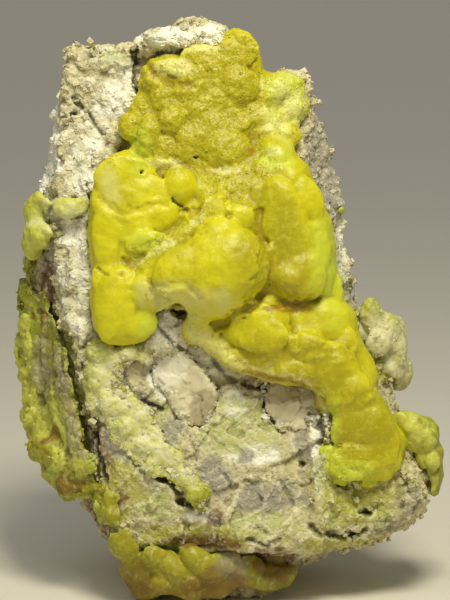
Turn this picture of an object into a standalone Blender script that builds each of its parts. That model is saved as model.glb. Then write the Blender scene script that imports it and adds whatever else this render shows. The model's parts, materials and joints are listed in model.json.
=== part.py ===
"""A smithsonite and fluorite specimen, standing on a broken foot.

A block of pale granular host rock carries botryoidal crusts of smithsonite: a thick yellow one down the front, and
thinner green ones on the flanks, the lower edge and the foot. Two cleaved fluorite crystals show in the broken
lower face.

The shapes are laid out in the face frame, which is square to the front of the block: X across to the right, Y away
from the viewer and Z up the face. Lists of places give (across, out, up) in millimetres, where out is towards the
viewer. The block then leans back by FACE_LEAN, and its foot is cut flat at z = 0.
"""

import math

import bmesh
import bpy
from mathutils import Matrix, Vector, noise

SPECIMEN = "smithsonite_specimen"
CUTTERS = "cutters"
MM = 0.001
FACE_LEAN = math.radians(9.0)  # the front leans back this much from upright
FOOT_FRONT_OUT = 8.0  # the face height of zero is the floor this far out, in mm
GAP = 0.34  # between a crust and the rock under it, in mm
CRUST_CLEAR_OF_FLOOR = 0.5  # the rock stands on the floor and the crusts don't, in mm

ROCK_VOXEL = 1.1
ROCK_TRIANGLES = 3300
ROCK_SWELL = 1.3  # height of the lumps and hollows of the broken rock, in mm
ROCK_SWELL_SIZE = 9.0
ROCK_GRIT = 0.7  # height of the smaller knobs on it
ROCK_GRIT_SIZE = 4.2
CRUST_VOXEL = 0.8

# The rock's eight edges, level by level up the face: front left, front middle, front right, right, back right,
# back middle, back left and left, each (across, out).
ROCK_LEVELS = (
    (-8.0, ((-14, 5), (-3, 7), (8, 5), (12, -4), (9, -18), (-3, -22), (-14, -18), (-18, -6))),
    (4.0, ((-15, 6), (-3, 8), (9, 6), (13, -4), (11, -19), (-3, -23), (-15, -19), (-18, -6))),
    (8.5, ((-18, 8), (-2, 10), (15, 9), (22, -2), (16, -20), (-2, -24), (-17, -20), (-21, -6))),
    (12.0, ((-21, 12), (0, 14), (25, 13), (35, 3), (24, -19), (0, -25), (-19, -21), (-25, -7))),
    (17.0, ((-22, 13), (1, 15), (32, 12), (40, 3), (28, -18), (1, -26), (-22, -22), (-29, -8))),
    (24.0, ((-23, 13), (1, 14), (33, 11), (41, 3), (29, -18), (1, -26), (-24, -23), (-33, -9))),
    (32.0, ((-25, 12), (0, 13), (29, 10), (38, 2), (28, -18), (0, -26), (-26, -23), (-37, -9))),
    (39.0, ((-26, 12), (-1, 12), (25, 9), (33, 1), (27, -18), (0, -26), (-26, -23), (-39, -9))),
    (47.0, ((-28, 11), (-2, 11), (22, 9), (32, 0), (25, -18), (-1, -25), (-27, -22), (-40, -8))),
    (56.0, ((-30, 10), (-3, 10), (19, 8), (26, -1), (22, -17), (-3, -24), (-28, -21), (-40, -7))),
    (68.0, ((-32, 9), (-4, 9), (17, 7), (23, -1), (19, -16), (-5, -22), (-28, -19), (-39, -6))),
    (80.0, ((-32, 9), (-6, 7), (16, 6), (23, -1), (16, -14), (-6, -19), (-28, -16), (-36, -4))),
    (90.0, ((-31, 8), (-8, 5), (15, 5), (20, -1), (13, -12), (-7, -16), (-27, -13), (-34, -3))),
    (98.0, ((-31, 7), (-9, 3), (13, 3), (18, -2), (11, -10), (-8, -13), (-25, -11), (-32, -3))),
)

# Blocks on the rock: centre, size and turn about the out axis in degrees.
ROCK_BLOCKS = (
    ((-23.8, -1.5, 99.6), (14.6, 16.0, 12.4), 2.0),  # top of the left column
    ((-7.4, -3.0, 103.6), (17.6, 13.0, 11.0), -3.0),  # pale cap behind and over the yellow crust
    ((-8.4, 1.0, 105.6), (14.4, 15.6, 3.6), 0.0),
    ((-4.6, -3.0, 107.4), (10.0, 9.0, 5.8), 8.0),
    ((11.4, -3.0, 96.0), (9.8, 12.0, 10.2), -4.0),  # right shoulder
    ((32.0, 5.0, 19.5), (13.0, 12.0, 9.0), -18.0),  # lower right corner
    ((8.0, 11.6, 12.6), (20.0, 8.0, 6.0), 3.0),  # lip over the foot
    ((-13.0, 10.0, 14.0), (14.0, 7.0, 7.0), -6.0),
    ((18.4, 12.0, 24.5), (2.2, 7.0, 26.0), 4.0),  # rib beside the long valley
    ((-10.6, 11.4, 51.0), (7.2, 5.0, 8.8), 24.0),  # knob in the notch of the crust
    ((-9.0, -22.0, 47.0), (23.0, 8.0, 27.0), 13.0),  # ledges of the broken back
    ((13.0, -19.5, 30.0), (19.0, 8.0, 23.0), -16.0),
    ((-17.0, -15.5, 77.0), (17.0, 8.0, 24.0), -9.0),
    ((8.0, -14.0, 84.0), (13.0, 8.0, 17.0), 21.0),
    ((-17.0, -20.0, 21.0), (16.0, 8.0, 15.0), 28.0),
)

# Hollows in the rock: centre, radii.
ROCK_HOLLOWS = (
    ((15.4, 17.0, 25.0), (1.6, 5.4, 13.0)),  # the long valley beside the fluorite
    ((-16.7, 9.0, 99.0), (0.9, 5.0, 8.0)),  # crack between the column and the crust
    ((-8.6, 15.0, 55.4), (1.6, 4.0, 1.3)),  # pit under the yellow lobes
    ((-36.4, 3.4, 58.0), (2.6, 6.0, 5.4)),  # weathered hollow on the left edge
    ((-24.4, 13.6, 36.0), (1.2, 4.0, 8.0)),  # groove down the left of the broken face
    ((27.0, 15.0, 16.2), (2.0, 3.6, 1.4)),  # pit in the lower right corner
    ((8.0, -26.0, 60.0), (11.0, 6.5, 13.0)),  # hollows of the broken back
    ((-3.0, -28.0, 24.0), (9.0, 5.0, 9.0)),
    ((-2.0, -19.0, 92.0), (6.0, 5.0, 6.0)),
    ((22.0, -12.0, 84.0), (5.0, 7.0, 11.0)),
)

# Faces that the crusts grew on: a point of the face as (across, out), and the turn about the up axis in degrees.
# Places on a face are (along it to the right as seen from outside, proud of it, up).
FRONT = ((0.0, 0.0), 0.0)
LEFT_FLANK = ((-26.0, 12.0), -56.3)
LEFT_BACK = ((-38.5, -7.5), -128.0)
RIGHT_FLANK = ((22.0, 9.0), 52.0)

# Lobes of a crust: centre, then half width, half depth and half height.
FRONT_LOBES = (
    # sugary upper field
    ((-4.0, 4.6, 91.0), (13.0, 5.6, 14.0)),
    ((-10.0, 4.0, 98.8), (6.4, 6.0, 4.6)),
    ((-1.5, 3.8, 101.0), (6.5, 6.0, 4.8)),
    ((3.0, 4.0, 101.8), (4.2, 5.6, 5.0)),
    ((2.4, 4.2, 104.6), (3.8, 5.4, 3.8)),
    ((-12.6, 4.2, 97.0), (4.2, 5.6, 6.0)),
    ((-6.0, 5.0, 96.5), (6.5, 6.2, 6.0)),
    ((1.0, 4.4, 97.0), (6.0, 6.0, 6.0)),
    ((6.0, 3.2, 95.5), (4.6, 5.4, 4.8)),
    ((11.0, 2.6, 96.6), (4.6, 5.2, 3.8)),
    ((13.2, 2.4, 92.8), (3.2, 4.8, 4.0)),
    ((12.4, 3.4, 88.2), (2.7, 4.6, 2.7)),
    ((7.4, 4.6, 90.2), (4.6, 5.4, 4.4)),
    ((-15.8, 5.4, 92.2), (3.0, 4.6, 3.0)),
    ((-18.0, 5.8, 89.4), (2.6, 4.6, 2.8)),
    ((-14.2, 6.6, 87.2), (3.6, 5.0, 3.4)),
    ((-9.6, 6.4, 90.0), (4.6, 5.4, 4.4)),
    ((-3.6, 6.2, 90.0), (4.8, 5.6, 4.6)),
    ((2.2, 5.6, 89.4), (4.8, 5.6, 4.6)),
    ((-6.6, 7.0, 84.6), (4.8, 5.4, 4.2)),
    ((-0.4, 6.8, 84.0), (5.0, 5.6, 4.4)),
    ((5.0, 5.8, 83.4), (3.8, 5.2, 4.2)),
    ((-11.4, 7.2, 83.6), (3.4, 5.0, 3.0)),
    ((1.0, 6.8, 79.0), (4.4, 4.8, 3.6)),
    ((-4.6, 7.0, 79.6), (4.2, 4.6, 3.4)),
    # left lobes
    ((-13.6, 7.8, 68.0), (10.4, 5.8, 14.4)),
    ((-19.2, 8.6, 80.0), (5.0, 6.4, 4.6)),
    ((-15.2, 8.8, 79.0), (3.6, 5.8, 3.4)),
    ((-20.8, 8.8, 75.0), (4.8, 6.6, 5.6)),
    ((-15.8, 9.2, 74.0), (5.2, 6.4, 5.2)),
    ((-8.6, 10.0, 78.0), (3.4, 4.8, 3.5)),
    ((-10.6, 9.2, 74.0), (3.6, 5.2, 3.2)),
    ((-21.6, 9.2, 69.0), (4.4, 6.2, 6.2)),
    ((-17.4, 9.8, 69.0), (4.8, 6.2, 5.4)),
    ((-14.6, 12.4, 68.0), (2.8, 4.6, 2.7)),
    ((-21.8, 9.2, 64.0), (3.9, 6.0, 5.0)),
    ((-18.2, 10.0, 64.4), (3.8, 5.6, 3.8)),
    # the ridge running up to the right
    ((-15.6, 11.3, 62.8), (3.8, 5.4, 2.9)),
    ((-11.6, 11.9, 65.4), (3.5, 5.4, 2.8)),
    ((-7.6, 12.3, 68.4), (3.5, 5.4, 2.8)),
    ((-4.4, 12.3, 71.2), (3.3, 5.2, 2.7)),
    ((-1.4, 12.1, 74.4), (2.3, 5.0, 2.3)),
    ((3.6, 11.7, 73.2), (2.8, 5.2, 2.8)),
    ((0.6, 12.5, 71.4), (3.0, 5.2, 2.8)),
    ((6.0, 11.3, 70.4), (2.8, 5.2, 3.0)),
    # the great middle lobe
    ((3.6, 9.2, 70.4), (15.4, 6.4, 14.6)),
    ((-8.0, 10.8, 64.0), (8.4, 6.0, 6.4)),
    ((0.2, 13.8, 63.0), (7.6, 9.2, 8.2)),
    ((-6.6, 13.4, 61.6), (7.6, 8.4, 6.4)),
    ((-12.2, 12.4, 59.6), (5.4, 6.6, 4.4)),
    ((-1.0, 13.6, 68.0), (6.4, 7.4, 5.2)),
    ((-2.6, 12.6, 56.6), (5.6, 7.2, 4.8)),
    ((1.6, 12.4, 55.6), (4.2, 6.6, 4.2)),
    ((-20.4, 10.8, 57.2), (5.2, 6.6, 5.4)),
    ((-20.2, 10.8, 52.6), (4.8, 6.2, 4.6)),
    ((-15.8, 11.2, 52.6), (3.8, 5.2, 3.8)),
    ((-16.0, 11.6, 57.6), (4.2, 5.6, 3.8)),
    # right lobes
    ((9.4, 8.6, 84.0), (3.8, 5.4, 3.8)),
    ((12.2, 9.2, 79.4), (4.2, 6.0, 4.2)),
    ((14.6, 9.2, 75.0), (4.0, 6.0, 4.2)),
    ((10.4, 9.8, 74.4), (4.2, 6.0, 4.6)),
    ((16.8, 9.0, 70.4), (3.6, 5.8, 3.8)),
    ((18.2, 8.4, 66.6), (3.0, 5.4, 3.2)),
    ((12.6, 10.4, 69.0), (5.2, 6.6, 5.0)),
    ((14.4, 10.6, 63.4), (5.4, 6.8, 4.8)),
    ((12.4, 11.6, 60.6), (5.0, 6.8, 4.4)),
    ((8.6, 10.8, 64.6), (3.6, 6.0, 5.2)),
    ((18.6, 8.2, 61.6), (2.8, 5.2, 3.6)),
    ((20.4, 6.6, 57.8), (2.2, 4.6, 2.6)),
    # lower lobes, running down to the right
    ((8.6, 8.8, 52.4), (14.4, 6.4, 8.4)),
    ((22.0, 7.2, 41.0), (7.0, 6.0, 9.0)),
    ((8.0, 10.2, 51.2), (7.0, 7.2, 6.2)),
    ((8.6, 12.0, 48.0), (4.4, 6.2, 4.2)),
    ((15.4, 10.6, 48.4), (4.4, 6.2, 4.0)),
    ((20.6, 7.4, 52.2), (4.6, 6.0, 4.8)),
    ((22.4, 7.4, 47.0), (3.8, 6.0, 4.8)),
    ((16.6, 8.0, 53.0), (3.6, 5.4, 3.4)),
    ((19.4, 10.0, 43.4), (5.6, 6.4, 4.6)),
    ((23.2, 9.6, 39.2), (5.4, 6.6, 5.2)),
    ((26.0, 9.4, 34.4), (5.6, 6.6, 5.2)),
    ((22.6, 10.0, 34.4), (4.0, 5.8, 5.0)),
    ((29.2, 8.4, 29.6), (5.2, 6.4, 5.0)),
    ((25.4, 10.0, 27.4), (4.8, 6.0, 4.8)),
    ((30.4, 7.8, 25.6), (3.8, 5.8, 4.2)),
    ((21.6, 10.0, 26.6), (3.4, 5.2, 4.6)),
    # the band along the broken lower edge
    ((-4.6, 10.6, 50.2), (3.0, 4.8, 2.8)),
    ((-1.4, 10.8, 47.8), (3.4, 4.8, 3.2)),
    ((3.0, 11.0, 45.8), (3.6, 5.0, 3.4)),
    ((7.6, 11.2, 44.6), (3.8, 5.2, 3.4)),
    ((12.0, 11.4, 44.2), (3.8, 5.4, 3.4)),
    ((15.8, 11.2, 43.8), (3.4, 5.4, 3.4)),
)

# Where the crust has broken away from the lower face: (across, up), along its edge and then round below.
BREAK_OUTLINE = (
    (-12.6, 57.4),
    (-10.6, 56.4),
    (-8.6, 53.0),
    (-6.4, 50.6),
    (-2.6, 47.4),
    (1.8, 44.2),
    (5.2, 42.2),
    (11.4, 41.2),
    (15.0, 40.6),
    (16.9, 38.4),
    (17.7, 34.6),
    (18.2, 29.0),
    (19.4, 23.4),
    (21.2, 21.4),
    (24.4, 22.4),
    (26.6, 20.6),
    (30.4, 21.8),
    (33.4, 23.6),
    (42.0, 20.0),
    (42.0, 0.0),
    (-40.0, 0.0),
    (-40.0, 49.4),
    (-24.0, 50.2),
    (-20.0, 48.6),
    (-15.2, 47.6),
    (-13.4, 49.6),
    (-14.2, 53.6),
)

EDGE_LOBES = (
    ((-24.2, 10.6, 46.6), (3.2, 3.0, 3.0)),
    ((-20.0, 11.2, 46.2), (4.4, 2.6, 2.9)),
    ((-15.6, 11.4, 46.0), (3.8, 2.2, 2.2)),
    ((-24.6, 10.4, 42.2), (3.0, 3.0, 4.0)),
    ((-21.2, 11.2, 41.4), (3.9, 2.4, 4.0)),
    ((-23.6, 10.8, 38.0), (3.2, 2.9, 3.8)),
    ((-20.2, 11.6, 36.4), (4.6, 2.5, 4.3)),
    ((-16.4, 11.8, 34.6), (4.0, 2.2, 3.9)),
    ((-18.2, 12.0, 31.6), (4.4, 2.6, 3.9)),
    ((-13.8, 12.2, 30.0), (4.2, 2.4, 3.8)),
    ((-15.2, 12.4, 27.2), (4.2, 2.6, 3.3)),
    ((-10.6, 12.8, 26.6), (4.4, 2.5, 3.7)),
    ((-12.4, 12.9, 24.2), (4.1, 2.6, 3.1)),
    ((-7.8, 13.2, 23.4), (4.4, 2.6, 4.0)),
    ((-5.2, 13.4, 20.6), (3.6, 2.7, 3.3)),
    ((-4.2, 13.4, 18.4), (2.4, 2.4, 2.2)),
)

LEFT_LOBES = (
    ((-17.0, 0.6, 64.0), (3.6, 3.0, 3.4)),
    ((-18.6, 0.4, 59.0), (3.4, 2.8, 3.8)),
    ((-15.0, 0.4, 54.5), (3.8, 2.6, 3.6)),
    ((-19.0, 0.8, 52.0), (3.6, 3.0, 3.6)),
    ((-10.5, 0.4, 51.0), (3.2, 2.4, 3.6)),
    ((-20.0, 0.8, 47.5), (3.4, 3.0, 3.8)),
    ((-14.5, 0.8, 47.5), (3.4, 2.9, 4.0)),
    ((-9.5, 0.6, 45.5), (3.0, 2.6, 4.2)),
    ((-20.0, 0.8, 42.5), (3.6, 2.8, 3.6)),
    ((-15.0, 0.4, 41.5), (3.2, 2.5, 4.2)),
    ((-8.5, 0.6, 39.5), (3.0, 2.6, 4.4)),
    ((-11.8, 0.2, 36.0), (2.9, 2.2, 4.2)),
    ((-18.5, 0.8, 36.5), (3.6, 3.0, 4.0)),
    ((-14.6, 1.0, 33.0), (3.6, 3.2, 3.6)),
    ((-17.4, 0.8, 30.8), (3.4, 2.8, 3.2)),
    ((-12.0, 1.6, 28.8), (3.6, 3.2, 3.2)),
    ((-7.4, 0.6, 32.4), (2.8, 2.6, 4.4)),
    ((-6.2, 0.6, 26.4), (2.8, 2.8, 3.8)),
    ((-9.4, 1.0, 23.4), (3.2, 3.0, 3.2)),
    ((-12.6, 0.4, 24.0), (2.8, 2.8, 2.8)),
    ((-5.2, 0.6, 20.8), (2.6, 2.6, 3.0)),
    ((-10.4, 0.4, 57.4), (2.8, 2.4, 3.4)),
    ((-5.6, 0.2, 46.6), (2.4, 2.2, 3.2)),
    ((-4.6, 0.2, 41.6), (2.8, 2.4, 3.8)),
    ((-4.2, 0.2, 36.4), (3.0, 2.6, 4.0)),
    ((-3.4, -0.4, 31.0), (3.2, 3.0, 4.0)),
    ((-2.4, -1.2, 26.0), (3.2, 3.4, 3.8)),
    ((-2.2, -1.6, 21.6), (3.0, 3.4, 3.2)),
)

LEFT_BACK_LOBES = (
    ((-1.0, 0.0, 56.0), (4.2, 2.4, 5.0)),
    ((-2.0, 0.2, 47.0), (4.6, 2.6, 5.2)),
    ((-7.5, 0.0, 51.0), (4.4, 2.2, 5.4)),
    ((-7.5, 0.2, 42.0), (4.4, 2.6, 4.8)),
    ((-2.5, 0.2, 38.5), (4.4, 2.4, 4.6)),
    ((-5.0, 0.0, 33.0), (4.2, 2.8, 4.0)),
)

SHOULDER_LOBES = (
    ((-36.0, 3.2, 73.6), (2.2, 3.2, 2.6)),
    ((-32.4, 6.4, 74.6), (2.6, 3.2, 2.2)),
    ((-35.4, 4.8, 69.6), (2.8, 3.6, 2.4)),
    ((-36.6, 3.6, 66.6), (2.2, 3.4, 2.6)),
    ((-34.6, 4.4, 76.0), (1.8, 3.0, 1.8)),
    ((-30.2, 8.0, 74.0), (2.8, 3.0, 2.1)),
    ((-27.8, 9.0, 74.2), (2.4, 2.4, 1.6)),
    ((-33.0, 6.6, 69.4), (2.4, 3.2, 2.2)),
)

RIGHT_LOBES = (
    ((9.0, 0.2, 54.0), (3.0, 2.0, 3.4)),
    ((13.0, 1.2, 51.4), (3.2, 2.6, 2.8)),
    ((10.0, 1.6, 49.0), (3.0, 2.6, 2.8)),
    ((14.0, 1.8, 47.4), (3.2, 2.8, 3.2)),
    ((13.4, 1.8, 43.4), (3.2, 2.6, 2.8)),
    ((17.0, 0.2, 50.0), (3.6, 2.6, 4.2)),
    ((17.6, 0.6, 43.0), (3.6, 2.6, 4.2)),
    ((12.6, 1.4, 40.0), (2.8, 2.2, 2.6)),
)

SMALL_RIGHT_LOBES = (
    ((21.4, -1.0, 74.0), (2.0, 3.0, 2.4)),
    ((21.2, -3.0, 71.6), (2.2, 3.2, 2.4)),
    ((21.4, -1.6, 76.4), (1.5, 2.6, 1.6)),
)

CORNER_LOBES = (
    ((34.6, 6.0, 33.0), (3.4, 4.2, 2.8)),
    ((37.4, 4.6, 31.4), (3.2, 4.6, 3.4)),
    ((38.8, 3.4, 27.6), (2.8, 4.6, 3.0)),
    ((39.4, 2.4, 23.8), (2.4, 4.4, 2.6)),
    ((39.0, 2.0, 20.6), (2.2, 4.0, 2.2)),
    ((38.0, -1.6, 28.0), (3.0, 4.6, 4.6)),
)

FOOT_LOBES = (
    ((-22.6, 7.6, 19.4), (2.8, 5.4, 3.4)),
    ((-20.6, 11.0, 17.6), (3.2, 4.8, 4.2)),
    ((-18.8, 10.6, 12.4), (3.4, 5.0, 4.6)),
    ((-16.4, 7.2, 6.4), (3.4, 4.6, 3.8)),
    ((-14.6, 6.0, 2.6), (3.4, 4.4, 3.2)),
    ((-13.6, 9.6, 9.6), (3.4, 4.2, 3.8)),
    ((-10.6, 9.4, 4.6), (3.4, 4.0, 3.2)),
    ((-6.0, 9.8, 7.0), (3.6, 4.0, 3.2)),
    ((-6.4, 8.6, 2.6), (3.4, 3.8, 2.8)),
    ((-1.6, 10.0, 7.8), (3.0, 3.4, 2.8)),
    ((-1.4, 8.6, 3.4), (3.8, 3.4, 3.2)),
    ((3.4, 9.0, 6.0), (3.2, 3.4, 3.2)),
    ((7.6, 7.8, 4.8), (3.6, 3.6, 3.4)),
    ((11.0, 6.2, 5.4), (3.0, 3.8, 3.0)),
)

# Name, groups of lobes with their face, triangles and mineral of each crust. Each is cut clear of those above it.
CRUSTS = (
    ("front_crust", ((FRONT, FRONT_LOBES),), 2200, "yellow_smithsonite"),
    ("edge_crust", ((FRONT, EDGE_LOBES),), 330, "green_smithsonite"),
    ("left_flank_crust", ((LEFT_FLANK, LEFT_LOBES), (LEFT_BACK, LEFT_BACK_LOBES)), 900, "green_smithsonite"),
    ("left_shoulder_crust", ((FRONT, SHOULDER_LOBES),), 220, "green_smithsonite"),
    ("right_flank_crust", ((RIGHT_FLANK, RIGHT_LOBES),), 260, "green_smithsonite"),
    ("right_shoulder_crust", ((FRONT, SMALL_RIGHT_LOBES),), 90, "green_smithsonite"),
    ("corner_crust", ((FRONT, CORNER_LOBES),), 200, "green_smithsonite"),
    ("foot_crust", ((FRONT, FOOT_LOBES),), 360, "green_smithsonite"),
)

# Cleaved fluorite crystals: centre, size, turns about the across, out and up axes in degrees, and the planes that
# cleave the corners off, each as a direction and its distance from the centre.
FLUORITES = (
    (
        "fluorite_centre",
        ((-7.0, 7.7, 40.2), (15.6, 9.0, 6.8), (4.0, 56.0, -4.0)),
        (((1.0, 0.3, 1.0), 5.6), ((-1.0, 0.2, 1.0), 6.4), ((1.0, 0.4, -1.0), 6.8), ((-1.0, -0.2, -1.0), 6.2)),
    ),
    (
        "fluorite_right",
        ((12.0, 7.0, 36.4), (8.6, 8.0, 6.6), (-7.0, 6.0, 5.0)),
        (((-1.0, 0.3, -1.0), 4.4), ((1.0, 0.3, 1.0), 4.8)),
    ),
)

# Base colour as linear red, green and blue, then roughness.
COLOURS = {
    "host_rock": ((0.52, 0.48, 0.36), 0.85),
    "yellow_smithsonite": ((0.62, 0.56, 0.03), 0.38),
    "green_smithsonite": ((0.36, 0.44, 0.08), 0.42),
    "fluorite": ((0.36, 0.33, 0.27), 0.25),
}


def material(name):
    """Principled material of one of the minerals."""
    made = bpy.data.materials.get(name)
    if made:
        return made
    colour, roughness = COLOURS[name]
    made = bpy.data.materials.new(name)
    made.use_nodes = True
    shader = made.node_tree.nodes["Principled BSDF"]
    shader.inputs["Base Color"].default_value = (*colour, 1.0)
    shader.inputs["Roughness"].default_value = roughness
    shader.inputs["Metallic"].default_value = 0.0
    return made


def place(across, out, up):
    """A place on the specimen, given in millimetres, as a point of the face frame in metres."""
    return Vector((across, -out, up)) * MM


def stand_up():
    """The matrix that leans the face frame back and puts the front of the foot on the floor."""
    lean = Matrix.Rotation(-FACE_LEAN, 4, "X")
    front_of_foot = lean @ place(0.0, FOOT_FRONT_OUT, 0.0)
    return Matrix.Translation((0.0, 0.0, -front_of_foot.z)) @ lean


def add_piece(name, mesh, mineral):
    """A piece of the specimen, made of one mineral."""
    made = bpy.data.objects.new(name, mesh)
    bpy.data.collections[SPECIMEN].objects.link(made)
    mesh.materials.append(material(mineral))
    return made


def add_cutter(name, mesh):
    """A hidden object that pieces are cut with."""
    made = bpy.data.objects.new(name, mesh)
    bpy.data.collections[CUTTERS].objects.link(made)
    made.hide_render = True
    made.display_type = "WIRE"
    return made


def settle(obj):
    """Gives the object the mesh that its modifiers make, and clears them."""
    graph = bpy.context.evaluated_depsgraph_get()
    mesh = bpy.data.meshes.new_from_object(obj.evaluated_get(graph))
    obj.modifiers.clear()
    obj.data = mesh
    return obj


def to_mesh(bm, name):
    """A mesh from a bmesh, which is freed."""
    mesh = bpy.data.meshes.new(name)
    bm.to_mesh(mesh)
    bm.free()
    return mesh


def face_matrix(face):
    """The frame of one face of the rock: its first axis along the face, its second out of it and its third up."""
    (across, out), turn = face
    return Matrix.Translation(place(across, out, 0.0)) @ Matrix.Rotation(math.radians(turn), 4, "Z")


def add_lobe(bm, centre, radii, face=FRONT):
    """Adds one ellipsoid, given in millimetres by its centre and half sizes in the frame of a face."""
    size = Matrix.Diagonal((radii[0] * MM, radii[1] * MM, radii[2] * MM, 1.0))
    matrix = face_matrix(face) @ Matrix.Translation(place(*centre)) @ size
    bmesh.ops.create_icosphere(bm, subdivisions=3, radius=1.0, matrix=matrix)


def add_block(bm, centre, size, turn):
    """Adds one box, turned about the out axis."""
    spread = Matrix.Diagonal((size[0] * MM, size[1] * MM, size[2] * MM, 1.0))
    turned = Matrix.Rotation(math.radians(turn), 4, "Y")
    bmesh.ops.create_cube(bm, size=1.0, matrix=Matrix.Translation(place(*centre)) @ turned @ spread)


def remesh(obj, voxel, smooth_steps):
    """Makes one skin round everything in the object and softens the steps of the voxels."""
    skin = obj.modifiers.new("skin", "REMESH")
    skin.mode = "VOXEL"
    skin.voxel_size = voxel * MM
    soften = obj.modifiers.new("soften", "SMOOTH")
    soften.factor = 0.5
    soften.iterations = smooth_steps
    return settle(obj)


def decimate(obj, triangles):
    """Thins the mesh to about this many triangles, keeping the most where it bends."""
    obj.data.calc_loop_triangles()
    thin = obj.modifiers.new("thin", "DECIMATE")
    thin.ratio = min(1.0, triangles / len(obj.data.loop_triangles))
    return settle(obj)


def roughen(obj, swell, swell_size, grit, grit_size):
    """Moves each point along its normal by two scales of noise, which gives the rock its lumps and ledges."""
    mesh = obj.data
    shifts = []
    for vertex in mesh.vertices:
        broad = noise.noise(vertex.co / (swell_size * MM))
        fine = noise.noise(vertex.co / (grit_size * MM))
        shifts.append(vertex.normal * (broad * swell + fine * grit) * MM)
    for vertex, shift in zip(mesh.vertices, shifts):
        vertex.co += shift


def boolean(obj, other, operation):
    """Applies one exact Boolean with another mesh object."""
    step = obj.modifiers.new(operation.lower(), "BOOLEAN")
    step.operation = operation
    step.object = other
    step.solver = "EXACT"
    return settle(obj)


def fattened(obj, gap):
    """A hidden copy of a piece, grown by the gap, that cuts its neighbours clear of it."""
    grown = add_cutter(obj.name + "_clearance", obj.data.copy())
    swell = grown.modifiers.new("swell", "DISPLACE")
    swell.strength = gap * MM
    swell.mid_level = 0.0
    return settle(grown)


def keep_main_body(obj):
    """Drops the crumbs that a cut leaves beside the main body."""
    bm = bmesh.new()
    bm.from_mesh(obj.data)
    bmesh.ops.remove_doubles(bm, verts=bm.verts, dist=0.004 * MM)
    bmesh.ops.dissolve_degenerate(bm, edges=bm.edges, dist=0.004 * MM)
    islands = []
    left = set(bm.verts)
    while left:
        island = set()
        edge_of_search = [left.pop()]
        while edge_of_search:
            vertex = edge_of_search.pop()
            island.add(vertex)
            for edge in vertex.link_edges:
                other = edge.other_vert(vertex)
                if other in left:
                    left.remove(other)
                    edge_of_search.append(other)
        islands.append(island)
    main = max(islands, key=len)
    bmesh.ops.delete(bm, geom=[v for v in bm.verts if v not in main], context="VERTS")
    bmesh.ops.triangulate(bm, faces=bm.faces)
    bm.to_mesh(obj.data)
    bm.free()
    return obj


def loft_rock(bm):
    """Lofts the block through its levels, with flat faces between its edges."""
    rings = []
    for up, ring in ROCK_LEVELS:
        rings.append([bm.verts.new(place(across, out, up)) for across, out in ring])
    count = len(rings[0])
    for low, high in zip(rings, rings[1:]):
        for i in range(count):
            bm.faces.new((low[i], low[(i + 1) % count], high[(i + 1) % count], high[i]))
    bm.faces.new(rings[0][::-1])
    bm.faces.new(rings[-1])


def build_rock():
    """The host rock: the lofted block with its knobs and hollows, roughened, leaned back and cut flat below."""
    bm = bmesh.new()
    loft_rock(bm)
    for block in ROCK_BLOCKS:
        add_block(bm, *block)
    rock = add_piece("host_rock", to_mesh(bm, "host_rock"), "host_rock")
    remesh(rock, ROCK_VOXEL, 3)

    bm = bmesh.new()
    for hollow in ROCK_HOLLOWS:
        add_lobe(bm, *hollow)
    hollows = add_cutter("rock_hollows", to_mesh(bm, "rock_hollows"))
    remesh(hollows, ROCK_VOXEL, 1)
    boolean(rock, hollows, "DIFFERENCE")
    remesh(rock, ROCK_VOXEL, 2)
    roughen(rock, ROCK_SWELL, ROCK_SWELL_SIZE, ROCK_GRIT, ROCK_GRIT_SIZE)
    rock.data.transform(stand_up())
    decimate(rock, ROCK_TRIANGLES)
    cut_flat_below(rock, 0.0)
    return keep_main_body(rock)


def cut_flat_below(obj, height):
    """Cuts the piece flat at a height over the floor, in millimetres."""
    bm = bmesh.new()
    size = Matrix.Diagonal((0.3, 0.3, 0.1, 1.0))
    bmesh.ops.create_cube(bm, size=1.0, matrix=Matrix.Translation((0.0, 0.0, height * MM - 0.05)) @ size)
    floor = add_cutter(obj.name + "_floor", to_mesh(bm, "floor"))
    boolean(obj, floor, "DIFFERENCE")


def build_break():
    """The tool that breaks the front crust away below its lower edge."""
    curve = bpy.data.curves.new("break_outline", "CURVE")
    curve.dimensions = "2D"
    curve.fill_mode = "BOTH"
    curve.extrude = 20.0 * MM
    spline = curve.splines.new("POLY")
    spline.points.add(len(BREAK_OUTLINE) - 1)
    for point, (across, up) in zip(spline.points, BREAK_OUTLINE):
        point.co = (across * MM, up * MM, 0.0, 1.0)
    spline.use_cyclic_u = True
    outline = bpy.data.objects.new("break_outline", curve)
    bpy.data.collections[CUTTERS].objects.link(outline)
    graph = bpy.context.evaluated_depsgraph_get()
    mesh = bpy.data.meshes.new_from_object(outline.evaluated_get(graph))
    bpy.data.objects.remove(outline)
    bm = bmesh.new()
    bm.from_mesh(mesh)
    bmesh.ops.remove_doubles(bm, verts=bm.verts, dist=0.01 * MM)
    bmesh.ops.recalc_face_normals(bm, faces=bm.faces)
    bm.to_mesh(mesh)
    bm.free()
    mesh.transform(stand_up() @ Matrix.Translation(place(0.0, 22.0, 0.0)) @ Matrix.Rotation(math.pi / 2, 4, "X"))
    return add_cutter("break_tool", mesh)


def build_crust(name, groups, triangles, mineral, cutters):
    """One botryoidal crust: its lobes in one skin, cut clear of what it grew on."""
    bm = bmesh.new()
    for face, lobes in groups:
        for centre, radii in lobes:
            add_lobe(bm, centre, radii, face)
    crust = add_piece(name, to_mesh(bm, name), mineral)
    remesh(crust, CRUST_VOXEL, 2)
    crust.data.transform(stand_up())
    decimate(crust, triangles)
    for cutter in cutters:
        boolean(crust, cutter, "DIFFERENCE")
    cut_flat_below(crust, CRUST_CLEAR_OF_FLOOR)
    return keep_main_body(crust)


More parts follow.
